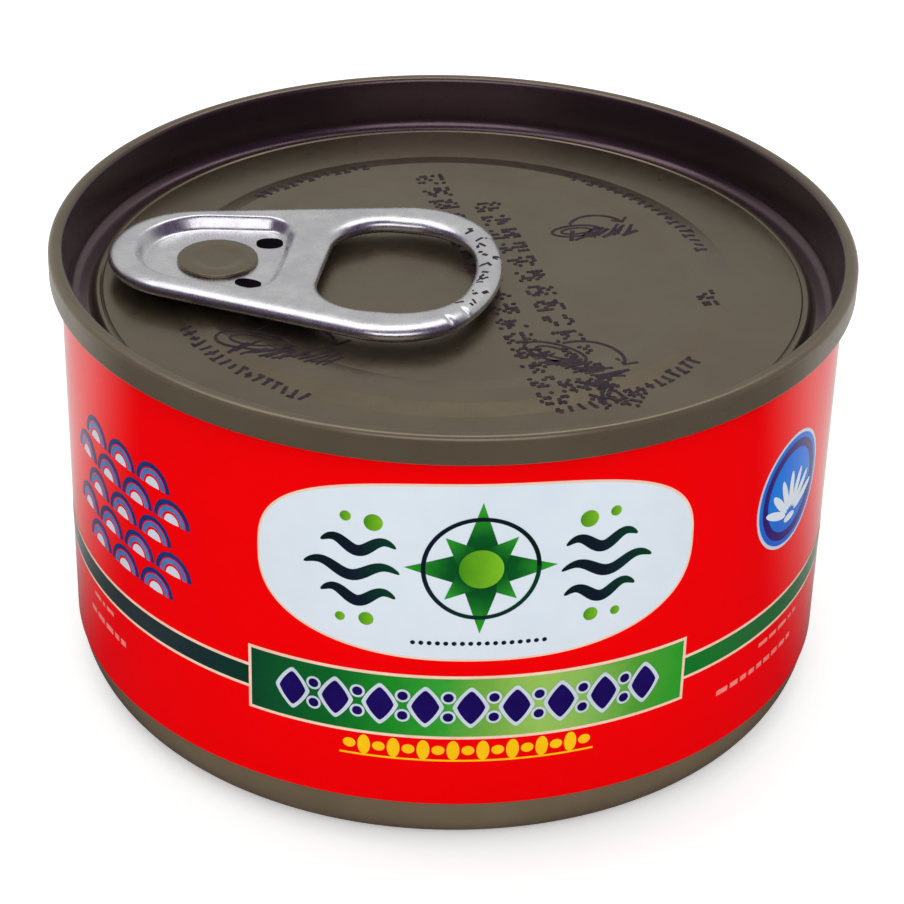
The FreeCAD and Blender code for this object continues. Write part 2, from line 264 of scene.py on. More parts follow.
# %% Mottling group
def mottling_group():
    """Two octaves of noise, one broad and one four times finer, added and stretched to 0..1."""
    group, given, out = new_group("Mottling", {"Vector": None, "Scale": 100.0, "Contrast": 1.0},
                                  ["Mask"])
    broad = group.nodes.new("ShaderNodeTexNoise")
    fine = group.nodes.new("ShaderNodeTexNoise")
    for noise, times in ((broad, 1.0), (fine, 4.0)):
        group.links.new(given.outputs["Vector"], noise.inputs["Vector"])
        group.links.new(math_node(group, "MULTIPLY", given.outputs["Scale"], times),
                        noise.inputs["Scale"])
        noise.inputs["Detail"].default_value = 3.0
    both = math_node(group, "ADD", math_node(group, "MULTIPLY", broad.outputs["Fac"], 0.65),
                     math_node(group, "MULTIPLY", fine.outputs["Fac"], 0.35))
    spread = math_node(group, "MULTIPLY", math_node(group, "SUBTRACT", both, 0.5),
                       math_node(group, "MULTIPLY", given.outputs["Contrast"], 2.0))
    group.links.new(math_node(group, "ADD", spread, 0.5, clamp=True), out.inputs["Mask"])
    return group


# %% Scratch group
def scratch_group():
    """Long thin cells: a Voronoi distance-to-edge on coordinates squeezed along one direction,
    kept only where a broad noise says that the surface was rubbed."""
    group, given, out = new_group("Scratches", {"Vector": None, "Scale": 300.0, "Amount": 0.5},
                                  ["Mask"])
    squeeze = group.nodes.new("ShaderNodeMapping")
    squeeze.inputs["Rotation"].default_value = (0.3, 0.2, 0.7)
    squeeze.inputs["Scale"].default_value = (1.0, 0.06, 0.5)
    group.links.new(given.outputs["Vector"], squeeze.inputs["Vector"])
    cells = group.nodes.new("ShaderNodeTexVoronoi")
    cells.feature = "DISTANCE_TO_EDGE"
    group.links.new(squeeze.outputs["Vector"], cells.inputs["Vector"])
    group.links.new(given.outputs["Scale"], cells.inputs["Scale"])
    line = math_node(group, "SUBTRACT", 1.0, ramp_between(group, cells.outputs["Distance"],
                                                          0.0, 0.05))
    rubbed = group.nodes.new("ShaderNodeTexNoise")
    group.links.new(given.outputs["Vector"], rubbed.inputs["Vector"])
    rubbed.inputs["Scale"].default_value = 180.0
    where = ramp_between(group, rubbed.outputs["Fac"], 0.48, 0.66)
    kept = math_node(group, "MULTIPLY", math_node(group, "MULTIPLY", line, where),
                     given.outputs["Amount"])
    group.links.new(kept, out.inputs["Mask"])
    return group


# %% Drawn lines group
def drawn_lines_group():
    """Fine streaks along the can's axis, as a punch leaves them: noise on coordinates whose
    height counts for a fiftieth of the rest."""
    group, given, out = new_group("Drawn lines", {"Vector": None, "Scale": 900.0}, ["Mask"])
    flatten = group.nodes.new("ShaderNodeMapping")
    flatten.inputs["Scale"].default_value = (1.0, 1.0, 0.02)
    group.links.new(given.outputs["Vector"], flatten.inputs["Vector"])
    streaks = group.nodes.new("ShaderNodeTexNoise")
    streaks.inputs["Detail"].default_value = 4.0
    group.links.new(flatten.outputs["Vector"], streaks.inputs["Vector"])
    group.links.new(given.outputs["Scale"], streaks.inputs["Scale"])
    group.links.new(streaks.outputs["Fac"], out.inputs["Mask"])
    return group


MOTTLING = mottling_group()
SCRATCHES = scratch_group()
DRAWN_LINES = drawn_lines_group()


# %% [markdown]
# ## Material helpers
# A material starts from one Principled BSDF. Its constants go straight on the shader's sockets,
# and only what changes over the surface comes through nodes. Colours are written as the eye
# sees them, from 0 to 255, and turned into linear light once.

# %% Material helpers
def linear(red, green, blue):
    """Linear RGBA of a colour as seen: ((c + 0.055) / 1.055) ^ 2.4, or c / 12.92 when dark."""
    seen = np.array([red, green, blue]) / 255
    light = np.where(seen <= 0.04045, seen / 12.92, ((seen + 0.055) / 1.055) ** 2.4)
    return (*light.tolist(), 1.0)


def new_material(name, metallic, roughness, coat=0.0, coat_roughness=0.05, ior=1.5):
    """A material with a Principled BSDF and its constants."""
    material = bpy.data.materials.new(name)
    material.use_nodes = True
    shader = material.node_tree.nodes["Principled BSDF"]
    shader.inputs["Metallic"].default_value = metallic
    shader.inputs["Roughness"].default_value = roughness
    shader.inputs["Coat Weight"].default_value = coat
    shader.inputs["Coat Roughness"].default_value = coat_roughness
    shader.inputs["IOR"].default_value = ior
    return material, material.node_tree, shader


def object_place(tree):
    return tree.nodes.new("ShaderNodeTexCoord").outputs["Object"]


def use_group(tree, group, vector, **values):
    """Place a shared group, give it its vector and values, and return its mask."""
    node = tree.nodes.new("ShaderNodeGroup")
    node.node_tree = group
    tree.links.new(vector, node.inputs["Vector"])
    for label, value in values.items():
        node.inputs[label].default_value = value
    return node.outputs["Mask"]


def mix_colours(tree, mask, first, second):
    """Colour that goes from first to second as the mask goes from 0 to 1."""
    node = tree.nodes.new("ShaderNodeMix")
    node.data_type = "RGBA"
    tree.links.new(mask, node.inputs["Factor"])
    for socket, value in ((node.inputs["A"], first), (node.inputs["B"], second)):
        if isinstance(value, tuple):
            socket.default_value = value
        else:
            tree.links.new(value, socket)
    return node.outputs["Result"]


def vary_roughness(tree, shader, mask, low, high):
    node = tree.nodes.new("ShaderNodeMapRange")
    tree.links.new(mask, node.inputs["Value"])
    node.inputs["To Min"].default_value = low
    node.inputs["To Max"].default_value = high
    tree.links.new(node.outputs["Result"], shader.inputs["Roughness"])


def add_bump(tree, shader, height, distance, strength=1.0):
    """Bump of a height mask, whose full range stands for a distance in millimetres."""
    node = tree.nodes.new("ShaderNodeBump")
    node.inputs["Strength"].default_value = strength
    node.inputs["Distance"].default_value = distance * MM
    tree.links.new(height, node.inputs["Height"])
    tree.links.new(node.outputs["Normal"], shader.inputs["Normal"])


# %% [markdown]
# ## Lacquered metal
# The can is steel under a clear khaki lacquer. It mirrors its surroundings softly, tinted by the
# lacquer, so it is a metal with a coloured base and a thin clear coat rather than a paint. Slow
# mottling moves both the tint and the gloss, and faint drawing lines run up the wall.

# %% Lacquer materials
def lacquer(name, light, dark, roughness_low, roughness_high, metallic, drawn):
    material, tree, shader = new_material(name, metallic=metallic, roughness=roughness_low,
                                          coat=0.2, coat_roughness=0.12)
    place = object_place(tree)
    cloud = use_group(tree, MOTTLING, place, Scale=60.0, Contrast=1.4)
    tree.links.new(mix_colours(tree, cloud, dark, light), shader.inputs["Base Color"])
    grain = use_group(tree, MOTTLING, place, Scale=900.0, Contrast=1.2)
    vary_roughness(tree, shader, grain, roughness_low, roughness_high)
    if drawn:
        streaks = use_group(tree, DRAWN_LINES, place, Scale=1400.0)
        add_bump(tree, shader, streaks, 0.012, 0.5)
    else:
        peel = use_group(tree, MOTTLING, place, Scale=420.0, Contrast=1.0)
        add_bump(tree, shader, peel, 0.010, 0.5)
    return material


def vary_by_radius(material):
    """Make the lacquer duller outside the rim, where it is rubbed, and darker with a violet cast
    in the groove and on the wall above it, as painted shade. Both follow the distance from
    the axis: the length of (x, y, 0)."""
    tree = material.node_tree
    shader = tree.nodes["Principled BSDF"]
    radial = tree.nodes.new("ShaderNodeVectorMath")
    radial.operation = "MULTIPLY"
    tree.links.new(object_place(tree), radial.inputs[0])
    radial.inputs[1].default_value = (1.0, 1.0, 0.0)
    length = tree.nodes.new("ShaderNodeVectorMath")
    length.operation = "LENGTH"
    tree.links.new(radial.outputs[0], length.inputs[0])
    outside = ramp_between(tree, length.outputs["Value"], SEAM_RUB_FROM * MM, SEAM_RUB_TO * MM)
    bright = math_node(tree, "SUBTRACT", 0.94, math_node(tree, "MULTIPLY", outside, 0.44))
    tree.links.new(bright, shader.inputs["Metallic"])
    # Painted shade: a darker violet base colour from the groove's inner wall up the chuck wall.
    inner = ramp_between(tree, length.outputs["Value"], 30.6 * MM, 31.3 * MM)
    outer = ramp_between(tree, length.outputs["Value"], 32.85 * MM, 33.3 * MM)
    groove_shade = math_node(tree, "SUBTRACT", inner, outer, clamp=True)
    plain = shader.inputs["Base Color"].links[0].from_socket
    tree.links.new(mix_colours(tree, groove_shade, plain, linear(97, 79, 85)),
                   shader.inputs["Base Color"])


SEAM_RUB_FROM, SEAM_RUB_TO = 33.4, 34.1
END_LACQUER = lacquer("end lacquer", linear(118, 107, 88), linear(110, 98, 80),
                      0.26, 0.36, metallic=0.93, drawn=False)
vary_by_radius(END_LACQUER)
BODY_LACQUER = lacquer("body lacquer", linear(138, 124, 97), linear(127, 113, 87),
                       0.34, 0.46, metallic=0.35, drawn=True)

# %% [markdown]
# ## Can body
# The body is a cup drawn from one disc, so the wall runs into the base through a rounded corner
# with no seam. The corner is a quarter ellipse, taller than it is deep. The underside, which is
# hardly ever seen, has a stand ring and a recessed panel with one bead, as such bases have.

# %% Body profile
BASE_CORNER_INSET = 3.2
BASE_CORNER_HEIGHT = 5.4
STAND_RING_WIDTH = 1.4
BASE_RECESS_DEPTH = 1.3
SEAM_HEIGHT = 2.55
seam_foot = CAN_HEIGHT - SEAM_HEIGHT


def base_corner(steps=24):
    """Quarter ellipse: radius = foot + inset sin t, height = tall (1 - cos t), t from 0 to 90."""
    t = np.linspace(0, math.pi / 2, steps)
    foot = BODY_RADIUS - BASE_CORNER_INSET
    return np.stack([foot + BASE_CORNER_INSET * np.sin(t),
                     BASE_CORNER_HEIGHT * (1 - np.cos(t))], axis=1)


def body_profile():
    foot = BODY_RADIUS - BASE_CORNER_INSET
    ring = foot - STAND_RING_WIDTH
    underside = rounded_profile([
        (0, BASE_RECESS_DEPTH - 0.4, 0), (ring - 8.7, BASE_RECESS_DEPTH - 0.4, 0.5),
        (ring - 7.5, BASE_RECESS_DEPTH, 0.5), (ring - 1.5, BASE_RECESS_DEPTH, 0.5),
        (ring, 0, 0.5), (foot - 0.01, 0, 0)])
    wall = np.stack([np.full(16, BODY_RADIUS),
                     np.linspace(BASE_CORNER_HEIGHT + 0.2, seam_foot, 16)], axis=1)
    inner = BODY_RADIUS - 0.15
    top = np.array([[inner, seam_foot], [inner, seam_foot - 4.0],
                    [15.0, seam_foot - 4.0], [0, seam_foot - 4.0]])
    return np.concatenate([underside, base_corner(), wall, top])


body = add_piece("body_shell", turned_mesh("body_shell", body_profile()), BODY_LACQUER,
                 replaces=["can_body"])

# %% [markdown]
# ## Easy-open end
# From the outside in, the end is a folded seam, a nearly upright chuck wall, a countersink groove
# and a flat panel. The panel has a score line near its edge, a low raised platform and a shallow
# dish. All of it is round, so one profile turned about the axis makes it in one piece, thin
# enough to be sheet on the inside and closed underneath.

# %% End profile
SEAM_THICKNESS = 1.25
COUNTERSINK_DEPTH = 5.0
PANEL_DEPTH = 4.1
PLATE = 0.25
chuck_top = SEAM_RADIUS - SEAM_THICKNESS
groove_outer = chuck_top - 0.3
groove_inner = groove_outer - 1.9
panel_edge = groove_inner - 0.3
score_radius = panel_edge - 0.55
platform_radius = panel_edge - 6.3
dish_radius = platform_radius - 3.9
panel_z = CAN_HEIGHT - PANEL_DEPTH
platform_z = panel_z + 0.3
dish_z = platform_z - 0.12
groove_z = CAN_HEIGHT - COUNTERSINK_DEPTH


def panel_corners():
    """Upper side of the end from the axis to the seam crown."""
    return [
        (0, dish_z, 0), (dish_radius - 1.6, dish_z, 1.5), (dish_radius, platform_z, 1.5),
        (platform_radius - 1.9, platform_z, 1.5), (platform_radius, panel_z, 1.5),
        (score_radius - 0.15, panel_z, 0.05), (score_radius, panel_z - 0.1, 0.05),
        (score_radius + 0.15, panel_z, 0.05), (panel_edge, panel_z, 0.3),
        (groove_inner, groove_z, 0.45), (groove_outer, groove_z, 0.95),
        (chuck_top, CAN_HEIGHT, 0.5), (SEAM_RADIUS, CAN_HEIGHT, 0.5),
        (SEAM_RADIUS, seam_foot, 0.35), (BODY_RADIUS - 0.2, seam_foot, 0),
    ]


def end_profile():
    upper = rounded_profile(panel_corners(), arc_steps=10, straight_step=1.2)
    under = rounded_profile([
        (BODY_RADIUS - 0.2, seam_foot - 0.01, 0), (groove_outer + PLATE, groove_z - PLATE, 0.9),
        (groove_inner - PLATE, groove_z - PLATE, 0.4),
        (panel_edge - PLATE, panel_z - PLATE, 0), (0, panel_z - PLATE, 0)])
    return np.concatenate([upper, under])


end_upper = rounded_profile(panel_corners(), arc_steps=10, straight_step=1.2)
end_piece = add_piece("end_shell", turned_mesh("end_shell", end_profile(), segments=420),
                      END_LACQUER, replaces=["easy_open_end"])


def panel_height(radius):
    """Height of the panel's upper side at a distance from the axis, read off the profile."""
    inner = end_upper[end_upper[:, 0] < panel_edge]
    return np.interp(radius, inner[:, 0], inner[:, 1])


# %% [markdown]
# ## Label sleeve
# The label is a printed sheet wrapped round the wall, with its ends lapped at the back. It is a
# closed thin shell: the outer radius rises by one sheet's thickness at the lap, sharply at the
# free end and slowly at the covered one. The print is glossy, so it needs a smooth coat over a
# saturated colour, and very slight waves keep its reflections from looking machined.

# %% Label material and sleeve
def print_material(name, build_colour, roughness=0.28):
    """Glossy print: a colour made by build_colour(tree) under a clear varnish."""
    material, tree, shader = new_material(name, metallic=0.0, roughness=roughness, coat=1.0,
                                          coat_roughness=0.04)
    shader.inputs["Specular IOR Level"].default_value = 0.0
    tree.links.new(build_colour(tree), shader.inputs["Base Color"])
    grain = use_group(tree, MOTTLING, object_place(tree), Scale=700.0, Contrast=1.0)
    vary_roughness(tree, shader, grain, roughness - 0.06, roughness + 0.08)
    return material


def slight_variation(first, second, scale=120.0):
    """Colour builder: a soft mottle between two near colours, as ink lies on sheet."""
    def build(tree):
        mask = use_group(tree, MOTTLING, object_place(tree), Scale=scale, Contrast=1.3)
        return mix_colours(tree, mask, first, second)
    return build


RED_PRINT = print_material("red print", slight_variation(linear(240, 0, 2), linear(237, 0, 1)))
SHEET = 0.1
LAP_WIDTH = 0.16
label_foot = label_low.z / MM
label_top = label_high.z / MM


def label_radius(angle, height):
    """Outer radius: sleeve radius, a lap step at the back and waves of a few microns."""
    from_back = np.angle(np.exp(1j * (angle - math.pi / 2)))
    rise = np.clip((from_back + LAP_WIDTH) / 0.08, 0, 1)
    rise = rise * rise * (3 - 2 * rise) * (from_back < LAP_WIDTH / 2)
    waves = 0.004 * np.sin(3 * angle + 0.12 * height) + 0.003 * np.sin(7 * angle - 0.3 * height)
    return LABEL_RADIUS - 0.02 + SHEET * rise + waves


def sleeve_mesh():
    """Closed shell: up the outside, over the top edge, down the inside and under the foot."""
    lap_edge = math.pi / 2 + LAP_WIDTH / 2
    angle = np.sort(np.concatenate([np.linspace(0, 2 * math.pi, 480, endpoint=False),
                                    lap_edge + np.array([-0.0006, 0.0006])]))
    rows = np.linspace(label_foot, label_top, 30)
    outer_a, outer_z = np.meshgrid(angle, rows, indexing="ij")
    outer_r = label_radius(outer_a, outer_z)
    inner_r = np.full_like(outer_r, BODY_RADIUS + 0.005)
    radius = np.concatenate([outer_r, inner_r[:, ::-1]], axis=1)
    height = np.concatenate([outer_z, outer_z[:, ::-1]], axis=1)
    around = np.concatenate([outer_a, outer_a], axis=1)
    points = np.stack([radius * np.cos(around), radius * np.sin(around), height], axis=-1)
    faces = grid_faces(len(angle), 2 * len(rows), True, True)
    flat = points.reshape(-1, 3)
    if signed_volume(flat, faces) < 0:
        faces = faces[:, ::-1]
    mesh = fill_mesh("label_sleeve", flat, faces)
    mesh.set_sharp_from_angle(angle=math.radians(40))
    return mesh


label_piece = add_piece("label_sleeve", sleeve_mesh(), RED_PRINT,
                        replaces=["label"])

# %% [markdown]
# ## Outlines of the tab
# The ring tab is one stamped piece: a narrow nose over the score line, a finger hole, and a
# small sunk island where the rivet holds it. Its outlines are straight lines and arcs that touch
# smoothly, so each one is worked out from its radii.

# %% Tab sizes
RIVET_BEARING = math.radians(182.4)
TAB_SWING = math.radians(-10.0)
TAB_SIDE_STEP = 0.3
NOSE_REACH, NOSE_RADIUS = 9.4, 7.7
HALF_WIDTH, RING_CORNER, RING_END = 11.8, 7.6, 17.3
HOLE_START, HOLE_END, HOLE_HALF_WIDTH = 9.2, 22.0, 8.1
HOLE_NEAR_ROUNDING, HOLE_FAR_ROUNDING, END_BAND = 4.9, 6.0, 2.3
ISLAND_AT, ISLAND_NOSE, ISLAND_REACH, ISLAND_HALF, ISLAND_CORNER = -1.0, 5.2, 5.0, 5.8, 1.9
TAB_THICKNESS, TAB_SHEET, ISLAND_WALL = 1.5, 0.4, 1.0
tab_foot = tab_low.z / MM
rivet_reach = score_radius - 0.4 - NOSE_REACH
rivet_place = rivet_reach * np.array([math.cos(RIVET_BEARING), math.sin(RIVET_BEARING)])
tab_bearing = RIVET_BEARING - math.pi + TAB_SWING


def arc_points(centre, radius, start, end, count=48):
    """Points on a circle: centre + radius (cos t, sin t) for t between two angles."""
    turn = np.linspace(start, end, count)
    return np.stack([centre[0] + radius * np.cos(turn), centre[1] + radius * np.sin(turn)], axis=1)


def bend_centre(end_x, end_radius, half_width, corner):
    """Centre of the corner arc that touches the side and, from inside, the end arc."""
    spread = half_width - corner
    return np.array([end_x + math.sqrt((end_radius - corner) ** 2 - spread ** 2), spread])


def nosed_outline(nose_x, nose, bend, corner, end_x, end_radius, grow=0.0):
    """Nose arc, straight common tangent, corner arc, end arc, then the same mirrored back."""
    spread = bend[1]
    away = math.hypot(bend[0] - nose_x, spread)
    tangent = (math.atan2(spread, bend[0] - nose_x) + math.pi / 2
               + math.asin((corner - nose) / away))
    end_turn = math.atan2(spread, bend[0] - end_x)
    half = np.concatenate([arc_points((nose_x, 0), nose + grow, math.pi, tangent),
                           arc_points(bend, corner + grow, tangent, end_turn),
                           arc_points((end_x, 0), end_radius + grow, end_turn, 0)])
    return np.concatenate([half, half[-2:0:-1] * [1, -1]])


def hole_outline():
    """Rounded near corners, straight sides, large far corners and an end arc."""
    end_radius = RING_END - END_BAND
    end_x = HOLE_END - end_radius
    far = bend_centre(end_x, end_radius, HOLE_HALF_WIDTH, HOLE_FAR_ROUNDING)
    near = (HOLE_START + HOLE_NEAR_ROUNDING, HOLE_HALF_WIDTH - HOLE_NEAR_ROUNDING)
    end_turn = math.atan2(far[1], far[0] - end_x)
    half = np.concatenate([[(HOLE_START, 0)],
                           arc_points(near, HOLE_NEAR_ROUNDING, math.pi, math.pi / 2),
                           arc_points(far, HOLE_FAR_ROUNDING, math.pi / 2, end_turn),
                           arc_points((end_x, 0), end_radius, end_turn, 0)])
    return np.concatenate([half, half[-2:0:-1] * [1, -1]])


ring_reach = HOLE_END + END_BAND
ring_end_x = ring_reach - RING_END
OUTER_EDGE = nosed_outline(NOSE_RADIUS - NOSE_REACH, NOSE_RADIUS,
                           bend_centre(ring_end_x, RING_END, HALF_WIDTH, RING_CORNER),
                           RING_CORNER, ring_end_x, RING_END)
HOLE_EDGE = hole_outline()
island_bend = np.array([ISLAND_REACH - ISLAND_CORNER, ISLAND_HALF - ISLAND_CORNER])
island_flat = 10 * ISLAND_HALF
island_end_x = island_bend[0] - math.sqrt((island_flat - ISLAND_CORNER) ** 2 - island_bend[1] ** 2)
ISLAND_EDGE = nosed_outline(ISLAND_AT, ISLAND_NOSE, island_bend, ISLAND_CORNER,
                            island_end_x, island_flat)


def edge_distance(points, outline):
    """Shortest distance from each point to a closed outline, positive inside it."""
    start, end = outline, np.roll(outline, -1, axis=0)
    along = end - start
    length2 = np.maximum((along ** 2).sum(1), 1e-12)
    best = np.empty(len(points))
    inside = np.zeros(len(points), bool)
    for part in np.array_split(np.arange(len(points)), max(1, len(points) // 4000)):
        away = points[part, None] - start
        t = np.clip((away * along).sum(2) / length2, 0, 1)
        best[part] = np.sqrt(((away - t[..., None] * along) ** 2).sum(2).min(1))
        px, py = points[part, 0][:, None], points[part, 1][:, None]
        crosses = (start[:, 1] > py) != (end[:, 1] > py)
        rise = np.where(along[:, 1] == 0, 1e-12, along[:, 1])
        hit = px < start[:, 0] + (py - start[:, 1]) / rise * along[:, 0]
        inside[part] = (crosses & hit).sum(1) % 2 == 1
    return np.where(inside, best, -best)


def on_can(points, height):
    """Tab coordinates to the can's: side step, turn to the tab's bearing, move to the rivet."""
    u, v = points[..., 0], points[..., 1] + TAB_SIDE_STEP
    x = rivet_place[0] + u * math.cos(tab_bearing) - v * math.sin(tab_bearing)
    y = rivet_place[1] + u * math.sin(tab_bearing) + v * math.cos(tab_bearing)
    return np.stack([x, y, np.broadcast_to(height, x.shape)], axis=-1)


# %% [markdown]
# ## Tab surface
# The sheet is curled under at its outer edge and at the finger hole, which makes the two soft
# bright rolls. Between them the web dips a little, and the island round the rivet lies a
# millimetre lower. The surface is a ring-shaped grid: one direction goes round the finger hole,
# the other crosses the top from the hole's edge to the outer edge and comes back below.

# %% Tab surface
TAB_COLUMNS = 560
TAB_ROWS = 84


def ray_reach(centre, direction, outline):
    """How far from a centre a ray meets the outline, by the outline's own angle order."""
    t = np.linspace(0, 1, 24, endpoint=False)[:, None]
    dense = outline[:, None] * (1 - t) + np.roll(outline, -1, axis=0)[:, None] * t
    away = dense.reshape(-1, 2) - centre
    bearing = np.arctan2(away[:, 1], away[:, 0]) % (2 * math.pi)
    order = np.argsort(bearing)
    reach = np.hypot(away[:, 0], away[:, 1])[order]
    return np.interp(direction, bearing[order], reach, period=2 * math.pi)


OUTER_ROLL, HOLE_ROLL, WEB_SAG = 1.5, 1.35, 0.10


def smooth_step(value):
    value = np.clip(value, 0, 1)
    return value * value * (3 - 2 * value)


def roll_height(distance, roll):
    """Quarter circle up from the edge: sqrt(r^2 - (r - d)^2) / r, then level."""
    d = np.clip(distance, 0, roll)
    return np.sqrt(np.maximum(roll ** 2 - (roll - d) ** 2, 0)) / roll


def tab_top(points, outer, hole):
    """Top height above the tab's foot: two rolled edges that meet in one round ring, a web
    that sags a little where it is wide, an island sunk to the sheet's thickness, and small
    nicks in the curl's far end."""
    half = TAB_THICKNESS / 2
    edge = roll_height(outer, OUTER_ROLL) * roll_height(hole, HOLE_ROLL)
    height = half + half * edge
    across = smooth_step((np.minimum(outer, hole) - 1.6) / 1.6)
    height = height - WEB_SAG * across
    island = edge_distance(points, ISLAND_EDGE)
    sink = smooth_step((island + ISLAND_WALL) / ISLAND_WALL)
    floor = TAB_SHEET + 0.02
    height = height + (floor - height) * sink
    bearing = np.arctan2(points[:, 1], points[:, 0] - 10.0)
    for turn, depth in ((-0.66, 0.20), (-0.52, 0.14), (0.50, 0.10)):
        along = np.exp(-((bearing - turn) / 0.014) ** 2)
        crease = np.exp(-((outer - 0.5) / 0.5) ** 2) * (points[:, 0] > 12)
        height = height - depth * along * crease
    return np.maximum(height, 0.1)


def tab_mesh():
    """Grid round the hole's middle. Row t goes from the hole's edge (t = 0) to the outer edge
    (t = 1) on top, then back underneath, where the roll ends and a hollow web begins."""
    centre = np.array([(HOLE_START + HOLE_END) / 2, 0.0])
    even = np.linspace(0, 2 * math.pi, TAB_COLUMNS, endpoint=False)
    turn = even + 0.42 * np.sin(even)
    near = ray_reach(centre, turn, HOLE_EDGE)
    far = ray_reach(centre, turn, OUTER_EDGE)
    t = (1 - np.cos(np.linspace(0, math.pi, TAB_ROWS))) / 2
    t = 0.35 * t + 0.65 * np.linspace(0, 1, TAB_ROWS)
    reach = near[:, None] + (far - near)[:, None] * t
    ray = np.stack([np.cos(turn), np.sin(turn)], axis=1)
    points = centre + ray[:, None] * reach[..., None]
    flat = points.reshape(-1, 2)
    outer = np.maximum(edge_distance(flat, OUTER_EDGE), 0)
    hole = np.maximum(-edge_distance(flat, HOLE_EDGE), 0)
    top = tab_top(flat, outer, hole).reshape(reach.shape)
    half = TAB_THICKNESS / 2
    edge = (roll_height(outer, 0.8) * roll_height(hole, 0.7)).reshape(reach.shape)
    under = half - half * edge
    hollow = smooth_step((np.minimum(outer, hole) - 1.5) / 0.5).reshape(reach.shape)
    under = under + (top - TAB_SHEET - under) * hollow
    under = np.clip(under, 0, top - 0.05)
    under[:, 0] = top[:, 0]
    under[:, -1] = top[:, -1]
    points = np.concatenate([on_can(points, tab_foot + top),
                             on_can(points, tab_foot + under)[:, -2:0:-1]], axis=1)
    columns = points.shape[1]
    faces = grid_faces(TAB_COLUMNS, columns, True, True)
    flat = points.reshape(-1, 3)
    if signed_volume(flat, faces) < 0:
        faces = faces[:, ::-1]
    return fill_mesh("ring_tab", flat, faces)


# %% [markdown]
# ## Tab metal
# The tab is bare tinplate, much brighter than the lacquer. It is a metal with a pale base, low
# roughness, soft dents and short rubbing scratches, so the curled edges flash and the web stays
# a soft grey.

# %% Tab material
def tab_material():
    material, tree, shader = new_material("tab metal", metallic=1.0, roughness=0.2)
    place = object_place(tree)
    cloud = use_group(tree, MOTTLING, place, Scale=260.0, Contrast=1.5)
    tree.links.new(mix_colours(tree, cloud, linear(208, 207, 212), linear(226, 226, 228)),
                   shader.inputs["Base Color"])
    grain = use_group(tree, MOTTLING, place, Scale=1300.0, Contrast=1.2)
    vary_roughness(tree, shader, grain, 0.22, 0.36)
    rubs = use_group(tree, SCRATCHES, place, Scale=420.0, Amount=0.7)
    dents = use_group(tree, MOTTLING, place, Scale=330.0, Contrast=1.0)
    height = math_node(tree, "SUBTRACT", dents, math_node(tree, "MULTIPLY", rubs, 0.3))
    add_bump(tree, shader, height, 0.022, 0.5)
    return material


TAB_METAL = tab_material()
tab_piece = add_piece("ring_tab", tab_mesh(), TAB_METAL, replaces=["pull_tab"])
print("tab x from", round(min(v.co.x for v in tab_piece.data.vertices) / MM, 2), "mm, solid",
      round(tab_low.x / MM, 2))

# %% [markdown]
# ## Rivet
# The rivet is drawn up out of the end's own sheet and its head flattened over the tab, so it is
# lacquered like the panel. It is a turned piece with a rounded head and a shallow dimple left by
# the heading punch.

# %% Rivet
RIVET_HEAD_RADIUS = 3.45
head_top = tab_foot + TAB_SHEET + 0.35


def rivet_profile():
    return rounded_profile([
        (0, head_top - 0.16, 0), (1.5, head_top - 0.15, 0.8), (2.3, head_top - 0.02, 0.8),
        (RIVET_HEAD_RADIUS, head_top, 0.15), (RIVET_HEAD_RADIUS, head_top - 0.33, 0.1),
        (2.3, head_top - 0.36, 0), (2.3, panel_z + 0.1, 0), (0, panel_z + 0.1, 0)], 6, 0.6)


rivet_piece = add_piece("rivet_head", turned_mesh("rivet_head", rivet_profile(), 120,
                                                  tuple(rivet_place)),
                        END_LACQUER)

# %% [markdown]
# ## Printing on curved sheet
# The print is made of thin sheets of ink that lie a hundredth of a millimetre above what carries
# them. An image texture would be one way to do it, but shapes with real edges stay sharp at any
# distance. Each shape is a strip between two curves drawn flat, in millimetres along and up the
# wall, and one function then wraps all its points round the can.

# %% Strips of ink
INK_STEP = 0.012


def on_wall(points, layer):
    """Wrap (along, up) round the wall: angle = along / radius from the front, and the radius is
    the sleeve's own, so that ink follows its lap and waves."""
    angle = points[..., 0] / LABEL_RADIUS - math.pi / 2
    radius = label_radius(angle, points[..., 1]) + INK_STEP * layer
    return np.stack([radius * np.cos(angle), radius * np.sin(angle), points[..., 1]], axis=-1)


def on_panel(points, layer):
    """Lay (x, y) on the end panel at the panel's own height."""
    height = panel_height(np.hypot(points[..., 0], points[..., 1])) + INK_STEP * layer
    return np.concatenate([points, height[..., None]], axis=-1)


def strip(lower, upper, rows=2):
    """Grid between two curves of the same length: (1 - v) lower + v upper."""
    v = np.linspace(0, 1, rows)[None, :, None]
    return np.asarray(lower)[:, None] * (1 - v) + np.asarray(upper)[:, None] * v


def oval(centre, half_width, half_height, tilt=0.0, count=24, power=2.0):
    """Strip between the halves of a super-ellipse |x/a|^p + |y/b|^p = 1, turned by a tilt."""
    turn = np.linspace(math.pi, 0, count)
    x = half_width * np.cos(turn)
    y = half_height * (1 - np.abs(np.cos(turn)) ** power) ** (1 / power)
    spin = np.array([[math.cos(tilt), math.sin(tilt)], [-math.sin(tilt), math.cos(tilt)]])
    lower = np.stack([x, -y], axis=1) @ spin + centre
    upper = np.stack([x, y], axis=1) @ spin + centre
    return strip(lower, upper, 7)


def stroke(path, width):
    """Strip half a width to each side of a path, along its normals."""
    path = np.asarray(path, float)
    ahead = np.gradient(path, axis=0)
    normal = np.stack([-ahead[:, 1], ahead[:, 0]], axis=1)
    normal /= np.linalg.norm(normal, axis=1, keepdims=True)
    side = normal * (np.broadcast_to(width, len(path)) / 2)[:, None]
    return strip(path - side, path + side)


